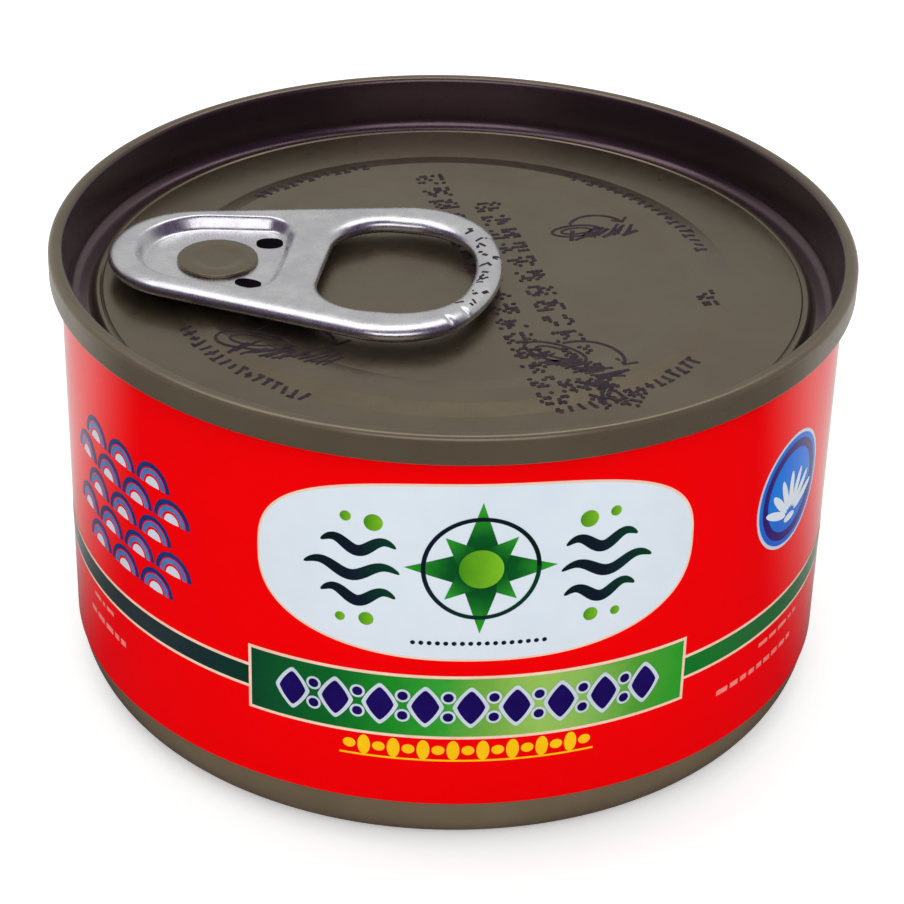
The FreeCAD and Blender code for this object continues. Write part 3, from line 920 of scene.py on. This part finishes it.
def ink_piece(name, strips, material, layer, surface=on_wall):
    """Join strips into one mesh on a surface, with a UV map along and across each strip, and
    turn all faces outwards: away from the axis on the wall, up on the panel."""
    points, faces, uvs, base = [], [], [], 0
    for number, grid in enumerate(strips):
        rows, columns = grid.shape[:2]
        lift = layer + 0.12 * (number % 7)       # overlapping strokes never share a level
        spot = surface(grid, lift).reshape(-1, 3)
        quads = grid_faces(rows, columns, False, False)
        u, v = np.meshgrid(np.linspace(0, 1, rows), np.linspace(0, 1, columns), indexing="ij")
        first, second, third = (spot[quads[:, k]] for k in (0, 1, 3))
        facing = np.cross(second - first, third - first)
        out = first.copy() if surface is on_wall else np.zeros_like(first)
        out[:, 2] = 0.0 if surface is on_wall else 1.0
        if (facing * out).sum() < 0:
            quads = quads[:, ::-1]
        points.append(spot)
        faces.append(quads + base)
        uvs.append(np.stack([u.ravel(), v.ravel()], axis=1))
        base += len(spot)
    points, faces, uvs = (np.concatenate(part) for part in (points, faces, uvs))
    mesh = fill_mesh(name, points, faces)
    layer_uv = mesh.uv_layers.new(name="Print")
    layer_uv.data.foreach_set("uv", uvs[faces.ravel()].astype(np.float32).ravel())
    return add_piece(name, mesh, material)


def gradient(stops, along=0, speckle=0.12):
    """Colour builder: a ramp along (0) or across (1) the strip, with a little print grain."""
    def build(tree):
        uv = tree.nodes.new("ShaderNodeUVMap")
        uv.uv_map = "Print"
        split = tree.nodes.new("ShaderNodeSeparateXYZ")
        tree.links.new(uv.outputs["UV"], split.inputs[0])
        grain = use_group(tree, MOTTLING, object_place(tree), Scale=420.0, Contrast=1.6)
        shift = math_node(tree, "MULTIPLY", math_node(tree, "SUBTRACT", grain, 0.5), speckle)
        ramp = tree.nodes.new("ShaderNodeValToRGB")
        tree.links.new(math_node(tree, "ADD", split.outputs[along], shift, clamp=True),
                       ramp.inputs["Fac"])
        while len(ramp.color_ramp.elements) < len(stops):
            ramp.color_ramp.elements.new(0.5)
        for element, (place, colour) in zip(ramp.color_ramp.elements, stops):
            element.position = place
            element.color = linear(*colour)
        return ramp.outputs["Color"]
    return build


def flat_ink(name, colour, other, scale=300.0):
    return print_material(name, slight_variation(linear(*colour), linear(*other), scale))


# %% Inks
WHITE_INK = flat_ink("white print", (219, 229, 238), (212, 222, 232), 90.0)
CREAM_INK = flat_ink("cream edge", (244, 214, 190), (236, 196, 172))
DARK_INK = print_material("dark print", gradient([(0, (8, 28, 26)), (0.5, (16, 25, 41)),
                                                  (1, (8, 60, 34))]))
EMBLEM_INK = print_material("green emblem", gradient([(0, (6, 30, 24)), (0.45, (10, 84, 32)),
                                                      (1, (46, 158, 40))]))
LEAF_INK = print_material("light green print", gradient([(0, (52, 128, 18)), (1, (128, 190, 40))]))
NAVY_INK = flat_ink("navy print", (30, 14, 96), (22, 10, 78))
PALE_INK = flat_ink("pale outline", (206, 214, 226), (192, 204, 214))
YELLOW_INK = flat_ink("yellow print", (252, 200, 22), (248, 188, 14))
PINK_INK = flat_ink("pale pink print", (244, 150, 140), (238, 110, 104), 500.0)
BANNER_INK = print_material("banner print", gradient([
    (0, (12, 68, 41)), (0.19, (13, 98, 38)), (0.325, (29, 135, 37)), (0.434, (52, 155, 50)),
    (0.544, (116, 170, 69)), (0.653, (149, 191, 89)), (0.762, (132, 180, 86)),
    (0.872, (80, 155, 51)), (1, (43, 152, 42))], speckle=0.03))
BAND_RIGHT_INK = print_material("band print right", gradient([
    (0, (14, 118, 37)), (0.1, (40, 104, 56)), (1, (30, 74, 54))], speckle=0.03))
BAND_LEFT_INK = print_material("band print left", gradient([
    (0, (30, 74, 54)), (0.86, (43, 54, 56)), (0.95, (23, 46, 48)), (1, (10, 54, 38))],
    speckle=0.03))

# %% [markdown]
# The front carries a rounded white panel over a green banner, and a narrow band runs from the
# banner's ends right round the can. All three have a thin cream edge, printed as a slightly
# larger shape underneath.

# %% Panel, banner and band
PANEL_CENTRE = np.array([2.8, 26.95])
BANNER_FROM, BANNER_TO, BANNER_FOOT, BANNER_TOP = -15.9, 20.7, 11.5, 17.1
BAND_FOOT, BAND_TOP = 13.4, 15.2
EDGE = 0.28
ONCE_ROUND = 2 * math.pi * LABEL_RADIUS
LAP_AT = (math.pi + LAP_WIDTH / 2) * LABEL_RADIUS


def bar(start, end, foot, top):
    """Straight bar, in columns short enough to follow the wall."""
    along = np.linspace(start, end, max(2, int(abs(end - start) / 0.6)))
    return strip(np.stack([along, np.full_like(along, foot)], 1),
                 np.stack([along, np.full_like(along, top)], 1), 3)


ink_piece("panel_edge", [oval(PANEL_CENTRE, 18.0, 8.15, count=90, power=2.65)], CREAM_INK, 1)
ink_piece("white_panel", [oval(PANEL_CENTRE, 17.8, 7.95, count=90, power=2.65)], WHITE_INK, 2)
ink_piece("banner_edge", [bar(BANNER_FROM - EDGE, BANNER_TO + EDGE, BANNER_FOOT - EDGE,
                              BANNER_TOP + EDGE)], CREAM_INK, 3)
ink_piece("banner", [bar(BANNER_FROM, BANNER_TO, BANNER_FOOT, BANNER_TOP)], BANNER_INK, 4)
right_run = (BANNER_TO, LAP_AT - 0.03)
left_run = (LAP_AT + 0.03, ONCE_ROUND + BANNER_FROM)
ink_piece("band_edge", [bar(*run, BAND_FOOT - EDGE, BAND_TOP + EDGE)
                        for run in (right_run, left_run)], CREAM_INK, 1)
ink_piece("band_right", [bar(*right_run, BAND_FOOT, BAND_TOP)], BAND_RIGHT_INK, 2)
ink_piece("band_left", [bar(*left_run, BAND_FOOT, BAND_TOP)], BAND_LEFT_INK, 2)

# %% [markdown]
# A plain sea pattern fills the white panel and is the same on both sides of its middle: a
# compass star in shaded green, dark swells to its left and right, round light green bubbles and
# a short dotted line. The banner has a row of navy lozenges with pale edges, and under it runs a
# yellow chain of small ovals.

# %% Motifs of the panel
def star(centre, reach, waist, points=4, turn=0.0):
    """Star as kites: each kite runs from the centre to a tip, widest at the waist radius."""
    kites = []
    for angle in turn + np.arange(points) * 2 * math.pi / points:
        ahead = np.array([math.cos(angle), math.sin(angle)])
        side = np.array([-ahead[1], ahead[0]])
        half = waist * math.tan(math.pi / points / 1.15)
        t = np.linspace(0, 1, 9)[:, None]
        width = half * np.where(t < waist / reach, t * reach / waist,
                                (1 - t) / (1 - waist / reach))
        middle = np.asarray(centre) + ahead * reach * t
        kites.append(strip(middle - side * width, middle + side * width, 9))
    return kites


def swell(start, end, level, rise, waves, width, phase=0.0):
    """Sine line whose width swells from nothing to the middle and back."""
    x = np.linspace(start, end, 90)
    t = (x - start) / (end - start)
    y = level + rise * np.sin(2 * math.pi * waves * t + phase)
    return stroke(np.stack([x, y], 1), width * np.sin(math.pi * t) ** 0.5 + 0.02)


star_centre = PANEL_CENTRE + [0, 0.5]
ink_piece("compass_star", star(star_centre, 6.0, 1.7)
          + star(star_centre, 4.0, 1.4, turn=math.pi / 4), EMBLEM_INK, 3)
ink_piece("compass_hub", [oval(star_centre, 1.75, 1.75)], LEAF_INK, 5)
ring_turn = np.linspace(0, 2 * math.pi, 73)
ring_path = star_centre + 4.5 * np.stack([np.cos(ring_turn), np.sin(ring_turn)], 1)
ink_piece("compass_ring", [stroke(ring_path, 0.36)], DARK_INK, 4)
swells, bubbles = [], []
for side in (-1, 1):
    for level, near, far in ((29.0, 6.6, 12.6), (26.7, 6.3, 14.0), (24.4, 6.6, 12.6)):
        ends = sorted((PANEL_CENTRE[0] + side * near, PANEL_CENTRE[0] + side * far))
        swells.append(swell(*ends, level, 0.5, 1.5, 1.0))
    for away, level, radius in ((8.4, 31.2, 0.75), (10.6, 31.5, 0.45), (8.9, 22.3, 0.6),
                                (11.0, 22.2, 0.4)):
        bubbles.append(oval((PANEL_CENTRE[0] + side * away, level), radius, radius))
ink_piece("dark_swells", swells, DARK_INK, 3)
ink_piece("green_bubbles", bubbles, LEAF_INK, 3)
dot_places = PANEL_CENTRE[0] + np.linspace(-5.2, 5.2, 17)
ink_piece("fine_dots", [oval((x, 20.5), 0.2, 0.2, count=9) for x in dot_places], DARK_INK, 3)

# %% Rows on and under the banner
lozenge_places = np.linspace(-12.2, 16.9, 9)
lozenge_outer, lozenge_inner, bead_outer, bead_inner = [], [], [], []
for x in lozenge_places:
    lozenge_outer.append(oval((x, 14.35), 1.48, 2.02, power=1.25))
    lozenge_inner.append(oval((x, 14.35), 1.12, 1.62, power=1.25))
for x in (lozenge_places[1:] + lozenge_places[:-1]) / 2:
    bead_outer += [oval((x, 14.35 + up), 0.62, 0.62, count=14) for up in (-0.95, 0.95)]
    bead_inner += [oval((x, 14.35 + up), 0.42, 0.42, count=14) for up in (-0.95, 0.95)]
ink_piece("lozenge_outlines", lozenge_outer + bead_outer, PALE_INK, 5)
ink_piece("navy_lozenges", lozenge_inner + bead_inner, NAVY_INK, 6)
chain_places = np.linspace(-7.4, 11.8, 17)
ink_piece("yellow_chain", [oval((x, 10.1), 0.52, 0.95 if k % 2 else 0.45, count=14)
                           for k, x in enumerate(chain_places)]
          + [bar(-8.2, 12.6, 9.0, 9.18)], YELLOW_INK, 1)

# %% [markdown]
# ## Wave scales
# Rows of wave scales fill the left of the label, an old sea pattern. Each scale is a stack of
# half rings, navy outside, blue within and silver at its heart, and every second row is moved
# over by half a scale.

# %% Wave scales
SCALE_PITCH, SCALE_ROW_STEP = 4.4, 2.5
SCALE_FIELD = np.array([-30.5, 18.2])
HALF_TURN = np.linspace(0, math.pi, 25)
HALF_RING = np.stack([np.cos(HALF_TURN), np.sin(HALF_TURN)], 1)
scale_feet = [SCALE_FIELD + [SCALE_PITCH * (column - (count - 1) / 2), SCALE_ROW_STEP * row]
              for row, count in enumerate((3, 4, 3, 4, 3)) for column in range(count)]


def half_rings(radius, width):
    """A half ring of one radius and width on the foot of every scale."""
    return [stroke(foot + radius * HALF_RING, width) for foot in scale_feet]


ink_piece("scale_rims", half_rings(1.88, 0.46), flat_ink("scale rim", (24, 38, 96), (34, 56, 118)), 1)
ink_piece("scale_rings", half_rings(1.30, 0.46), flat_ink("scale ring", (52, 98, 158), (78, 128, 184)), 1)
ink_piece("scale_hearts", half_rings(0.44, 0.80), flat_ink("scale heart", (196, 220, 232), (206, 204, 212)), 1)

# %% [markdown]
# A round blue mark on the right balances the wave scales: a violet ring round a plain scallop shell,
# which is a fan of narrow ovals. Faint pale dashes stand for the small print.

# %% Round mark and pale rows
ROUNDEL = np.array([33.6, 25.9])
BLUE_INK = print_material("roundel blue", gradient([(0, (42, 96, 204)), (0.5, (10, 124, 222)),
                                                    (1, (20, 104, 214))], along=1))
VIOLET_INK = flat_ink("roundel violet", (62, 31, 114), (46, 28, 104))
ink_piece("roundel_edge", [oval(ROUNDEL, 5.25, 5.25, count=40)], PALE_INK, 1)
ink_piece("roundel", [oval(ROUNDEL, 4.95, 4.95, count=40)], BLUE_INK, 2)
ring = ROUNDEL + 4.1 * np.stack([np.cos(ring_turn), np.sin(ring_turn)], 1)
ink_piece("roundel_ring", [stroke(ring, 0.75)], VIOLET_INK, 3)
FAN_FOOT = ROUNDEL - [0, 2.5]
fan = []
for lean in np.radians([-66, -44, -22, 0, 22, 44, 66]):
    rib = np.array([math.sin(lean), math.cos(lean)])
    fan.append(oval(FAN_FOOT + rib * 2.55, 1.75, 0.40, math.pi / 2 - lean, count=20))
fan.append(oval(FAN_FOOT - [0, 0.1], 0.9, 0.38, count=16))
ink_piece("roundel_shell", fan, WHITE_INK, 4)
rng = np.random.default_rng(7)


def dash_row(start, end, level, height, least=0.5, most=1.6, gap=0.35):
    """Bars of random length from start to end, with even gaps."""
    bars, at = [], start
    while at < end:
        length = rng.uniform(least, most)
        bars.append(bar(at, min(at + length, end), level - height / 2, level + height / 2))
        at += length + gap
    return bars


ink_piece("pale_rows", dash_row(-38, -31, 10.1, 0.55) + dash_row(-37, -33, 12.0, 0.4)
          + dash_row(25, 36.5, 9.9, 0.5) + dash_row(30.5, 37.5, 12.0, 0.4), PINK_INK, 1)
back_rows = []
for k in range(7):
    back_rows += dash_row(58, 88, 31.5 - 1.9 * k, 0.55, least=1.0, most=4.0, gap=0.6)
    back_rows += dash_row(124, 146, 31.5 - 1.9 * k, 0.55, least=1.0, most=3.5, gap=0.6)
ink_piece("back_rows", back_rows, PINK_INK, 1)

# %% [markdown]
# ## Ink on the end
# Dark opening marks and an ink-jet dot pattern are printed on the lacquer. The marks are short
# ticks along arcs and a few plain line sketches, and the dots fall at random in small square
# cells, so nothing there can be read.

# %% Ink on the panel
def panel_ink():
    material, tree, shader = new_material("panel ink", metallic=0.0, roughness=0.5)
    shader.inputs["Specular IOR Level"].default_value = 0.15
    worn = use_group(tree, MOTTLING, object_place(tree), Scale=900.0, Contrast=1.6)
    tree.links.new(mix_colours(tree, worn, linear(34, 20, 36), linear(56, 44, 48)),
                   shader.inputs["Base Color"])
    return material


PANEL_INK = panel_ink()


def tick_arc(radius, start, end, height=1.3, step=0.95):
    """Ticks along an arc: each is a short stroke near the radial direction, some with a foot."""
    strokes = []
    for angle in np.arange(math.radians(start), math.radians(end), step / radius):
        lean = rng.uniform(-0.35, 0.35)
        ahead = np.array([math.cos(angle), math.sin(angle)])
        side = np.array([-ahead[1], ahead[0]])
        middle = ahead * radius
        t = np.linspace(-0.5, 0.5, 4)[:, None] * height * rng.uniform(0.6, 1.0)
        strokes.append(stroke(middle + (ahead + side * lean) * t, 0.34))
        if rng.uniform() < 0.6:
            foot = middle + ahead * rng.choice([-0.45, 0.0, 0.45]) * height
            strokes.append(stroke(foot + side * np.linspace(-0.34, 0.34, 4)[:, None], 0.3))
    return strokes


def sketch(centre, size, turn):
    """A ring, an arc with an arrow head and hatching lines, as a plain opening sketch."""
    def put(path):
        spin = np.array([[math.cos(turn), math.sin(turn)], [-math.sin(turn), math.cos(turn)]])
        return (np.asarray(path) * size) @ spin + np.asarray(centre)
    a = np.linspace(0, 2 * math.pi, 28)
    rings = [stroke(put(np.stack([0.42 * np.cos(a) - 0.35, 0.2 * np.sin(a)], 1)), 0.3),
             stroke(put(np.stack([0.26 * np.cos(a) - 0.35, 0.11 * np.sin(a)], 1)), 0.24)]
    b = np.linspace(0.3, 2.6, 20)
    arc = np.stack([0.05 + 0.5 * np.cos(b), 0.5 * np.sin(b)], 1)
    head = arc[0] + np.array([[-0.16, 0.10], [0, 0], [0.12, 0.14]])
    lines = [stroke(put(arc), 0.3), stroke(put(head), 0.3)]
    for k in range(16):
        start = np.array([-0.55 + 0.07 * k, -0.30 + 0.02 * rng.uniform(-3, 3)])
        path = start + np.linspace(0, 1, 6)[:, None] * rng.uniform(0.12, 0.38, 2)
        lines.append(stroke(put(path), rng.uniform(0.18, 0.42)))
    return rings + lines


def dot_cells(start, end, across, cells, pitch=0.36):
    """Cells of 5 by 7 random ink-jet dots, spread evenly along a line."""
    start, end = np.asarray(start, float), np.asarray(end, float)
    ahead = (end - start) / np.linalg.norm(end - start)
    side = np.array([-ahead[1], ahead[0]])
    dots = []
    for place in np.linspace(0, 1, cells):
        corner_at = start + (end - start) * place + side * across
        filled = rng.uniform(size=(5, 7)) < 0.42
        for i, j in np.argwhere(filled):
            spot = corner_at + ahead * i * pitch + side * j * pitch
            dots.append(oval(spot, 0.23, 0.19, rng.uniform(0, 3), count=7))
    return dots


marks = tick_arc(24.3, 206, 244) + tick_arc(24.2, 291, 325) + tick_arc(22.5, 15, 62)
marks += tick_arc(22.5, 112, 142)
marks += sketch((12.5, 9.5), 5.2, 0.3) + sketch((10.5, -14.5), 6.6, -0.5)
marks += sketch((-13.5, -13.4), 7.6, -0.2)
ink_piece("opening_marks", marks, PANEL_INK, 1, on_panel)
dots = dot_cells((-3.5, 19), (7.0, -20.5), 0.0, 17) + dot_cells((-1.0, 13), (8.5, -21.5), 2.9, 14)
dots += dot_cells((9.0, -19.5), (13.5, -21.0), 0.0, 4) + dot_cells((21.3, -4.6), (22.4, -4.2), 0, 1)
ink_piece("ink_jet_dots", dots, PANEL_INK, 2, on_panel)

# %% [markdown]
# The tab has two lance slots beside the rivet, where the island was cut free on three
# sides; they are not cut but painted, as dark sheets of shade on the tab. A few specks of
# stray ink sit on the ring's far end.

# %% Slots and specks on the tab
def on_tab(points, layer):
    """Lay (u, v) on the tab's top: its height there, turned and moved with the tab."""
    flat = points.reshape(-1, 2)
    outer = np.maximum(edge_distance(flat, OUTER_EDGE), 0)
    hole = np.maximum(-edge_distance(flat, HOLE_EDGE), 0)
    height = tab_foot + tab_top(flat, outer, hole) + INK_STEP * layer
    return on_can(flat, height).reshape(*points.shape[:2], 3)


# Painted shade: a near-black matt sheet stands for the shadowed opening of each lance slot.
slot_shade_material, slot_shade_tree, slot_shade_shader = new_material("painted slot shade", metallic=0.0, roughness=0.8)
slot_shade_shader.inputs["Specular IOR Level"].default_value = 0.0
slot_shade_tree.links.new(mix_colours(slot_shade_tree, use_group(slot_shade_tree, MOTTLING, object_place(slot_shade_tree),
                                                     Scale=800.0, Contrast=1.0),
                                linear(8, 5, 10), linear(22, 17, 22)),
                    slot_shade_shader.inputs["Base Color"])
ink_piece("lance_slot_shade", [oval((3.7, 3.7), 1.15, 0.92, 0.25, power=2.4),
                          oval((3.4, -3.9), 1.15, 0.70, -0.2, power=2.4)], slot_shade_material, 4,
          on_tab)
specks = []
for turn in np.linspace(-0.42, 0.62, 9):
    away = np.array([math.cos(turn), math.sin(turn)])
    spot = np.array([10.2, 0.0]) + away * (12.75 + rng.uniform(-0.2, 0.3))
    for part in range(3):
        start = spot + rng.uniform(-0.55, 0.55, 2)
        path = start + np.linspace(0, 1, 5)[:, None] * rng.uniform(-0.7, 0.7, 2)
        specks.append(stroke(path, rng.uniform(0.16, 0.3)))
ink_piece("tab_specks", specks, PANEL_INK, 1, on_tab)

# %% [markdown]
# ## Floor and light
# The can stands on a plain pale floor. Lacquer and print are both glossy, so what they mirror
# matters as much as the lamps: the room is bright behind and beside the can, and dim on the
# camera's side, which keeps the red saturated. That gradient is fixed in the room, in the
# world's own direction coordinates, so it stays put when the view changes.

# %% Floor
def floor_material():
    """Pale for the camera. Mirrored rays see it bright behind and beside the can and dim before
    it, as a floor that fades into an unlit studio."""
    material = bpy.data.materials.new("pale floor")
    material.use_nodes = True
    tree = material.node_tree
    shader = tree.nodes["Principled BSDF"]
    shader.inputs["Roughness"].default_value = 0.9
    shader.inputs["Specular IOR Level"].default_value = 0.1
    place = object_place(tree)
    soft = use_group(tree, MOTTLING, place, Scale=9.0, Contrast=0.6)
    tree.links.new(mix_colours(tree, soft, (0.93, 0.93, 0.93, 1), (0.96, 0.96, 0.96, 1)),
                   shader.inputs["Base Color"])
    split = tree.nodes.new("ShaderNodeSeparateXYZ")
    tree.links.new(place, split.inputs[0])
    behind = ramp_between(tree, split.outputs["Y"], *FLOOR_FADE)
    mirrored = tree.nodes.new("ShaderNodeEmission")
    tree.links.new(mix_colours(tree, behind, FLOOR_DIM, FLOOR_BRIGHT), mirrored.inputs["Color"])
    path = tree.nodes.new("ShaderNodeLightPath")
    shader.inputs["Emission Color"].default_value = (1, 1, 1, 1)
    tree.links.new(math_node(tree, "MULTIPLY", path.outputs["Is Camera Ray"], FLOOR_LIFT),
                   shader.inputs["Emission Strength"])
    choose = tree.nodes.new("ShaderNodeMixShader")
    tree.links.new(path.outputs["Is Glossy Ray"], choose.inputs["Fac"])
    tree.links.new(shader.outputs[0], choose.inputs[1])
    tree.links.new(mirrored.outputs[0], choose.inputs[2])
    tree.links.new(choose.outputs[0], tree.nodes["Material Output"].inputs["Surface"])
    return material


FLOOR_DIM = (0.03, 0.02, 0.035, 1)
FLOOR_BRIGHT = (0.72, 0.72, 0.70, 1)
FLOOR_LIFT = 0.30
FLOOR_FADE = (-0.012, 0.030)
floor_mesh = bpy.data.meshes.new("floor")
floor_half = 6.0
floor_mesh.from_pydata([(-floor_half, -floor_half, 0), (floor_half, -floor_half, 0),
                        (floor_half, floor_half, 0), (-floor_half, floor_half, 0)], [],
                       [(0, 1, 2, 3)])
floor = bpy.data.objects.new("floor", floor_mesh)
floor.data.materials.append(floor_material())
bpy.context.collection.objects.link(floor)

# %% World
def build_world():
    """White to the camera, an even grey to matt surfaces, and for mirrored rays a room that is
    bright behind and dim before."""
    world = bpy.data.worlds.new("room")
    bpy.context.scene.world = world
    world.use_nodes = True
    tree = world.node_tree
    tree.nodes.clear()
    direction = tree.nodes.new("ShaderNodeTexCoord").outputs["Generated"]
    split = tree.nodes.new("ShaderNodeSeparateXYZ")
    tree.links.new(direction, split.inputs[0])
    behind = ramp_between(tree, split.outputs["Y"], *WORLD_FADE)
    mirrored = mix_colours(tree, behind, WORLD_DIM, WORLD_BRIGHT)
    path = tree.nodes.new("ShaderNodeLightPath")
    colour = mix_colours(tree, path.outputs["Is Glossy Ray"], WORLD_EVEN, mirrored)
    colour = mix_colours(tree, path.outputs["Is Camera Ray"], colour, (1.0, 1.0, 1.0, 1.0))
    room = tree.nodes.new("ShaderNodeBackground")
    tree.links.new(colour, room.inputs["Color"])
    out = tree.nodes.new("ShaderNodeOutputWorld")
    tree.links.new(room.outputs[0], out.inputs["Surface"])


WORLD_EVEN = (0.74, 0.74, 0.74, 1)
WORLD_DIM = (0.07, 0.04, 0.10, 1)
WORLD_BRIGHT = (0.56, 0.56, 0.55, 1)
WORLD_FADE = (0.0, 0.55)
build_world()

# %% [markdown]
# Two soft boxes do the modelling: a broad one high at the front fills the red evenly, and a
# lower one behind lays the long highlight over the seam and the rolled edges of the tab.

# %% Lamps
def add_lamp(name, place, size, power, colour=(1, 1, 1)):
    """A rectangular area lamp that faces the can's middle."""
    data = bpy.data.lights.new(name, "AREA")
    data.shape = "RECTANGLE"
    data.size, data.size_y = size
    data.energy = power
    data.color = colour
    lamp = bpy.data.objects.new(name, data)
    lamp.location = place
    aim = Vector((0, 0, 0.03)) - Vector(place)
    lamp.rotation_euler = aim.to_track_quat("-Z", "Y").to_euler()
    bpy.context.collection.objects.link(lamp)


add_lamp("front_fill", (0.05, -0.85, 0.75), (1.0, 0.6), 3.2)
add_lamp("top_light", (-0.10, 0.24, 1.0), (1.4, 0.5), 3.8)
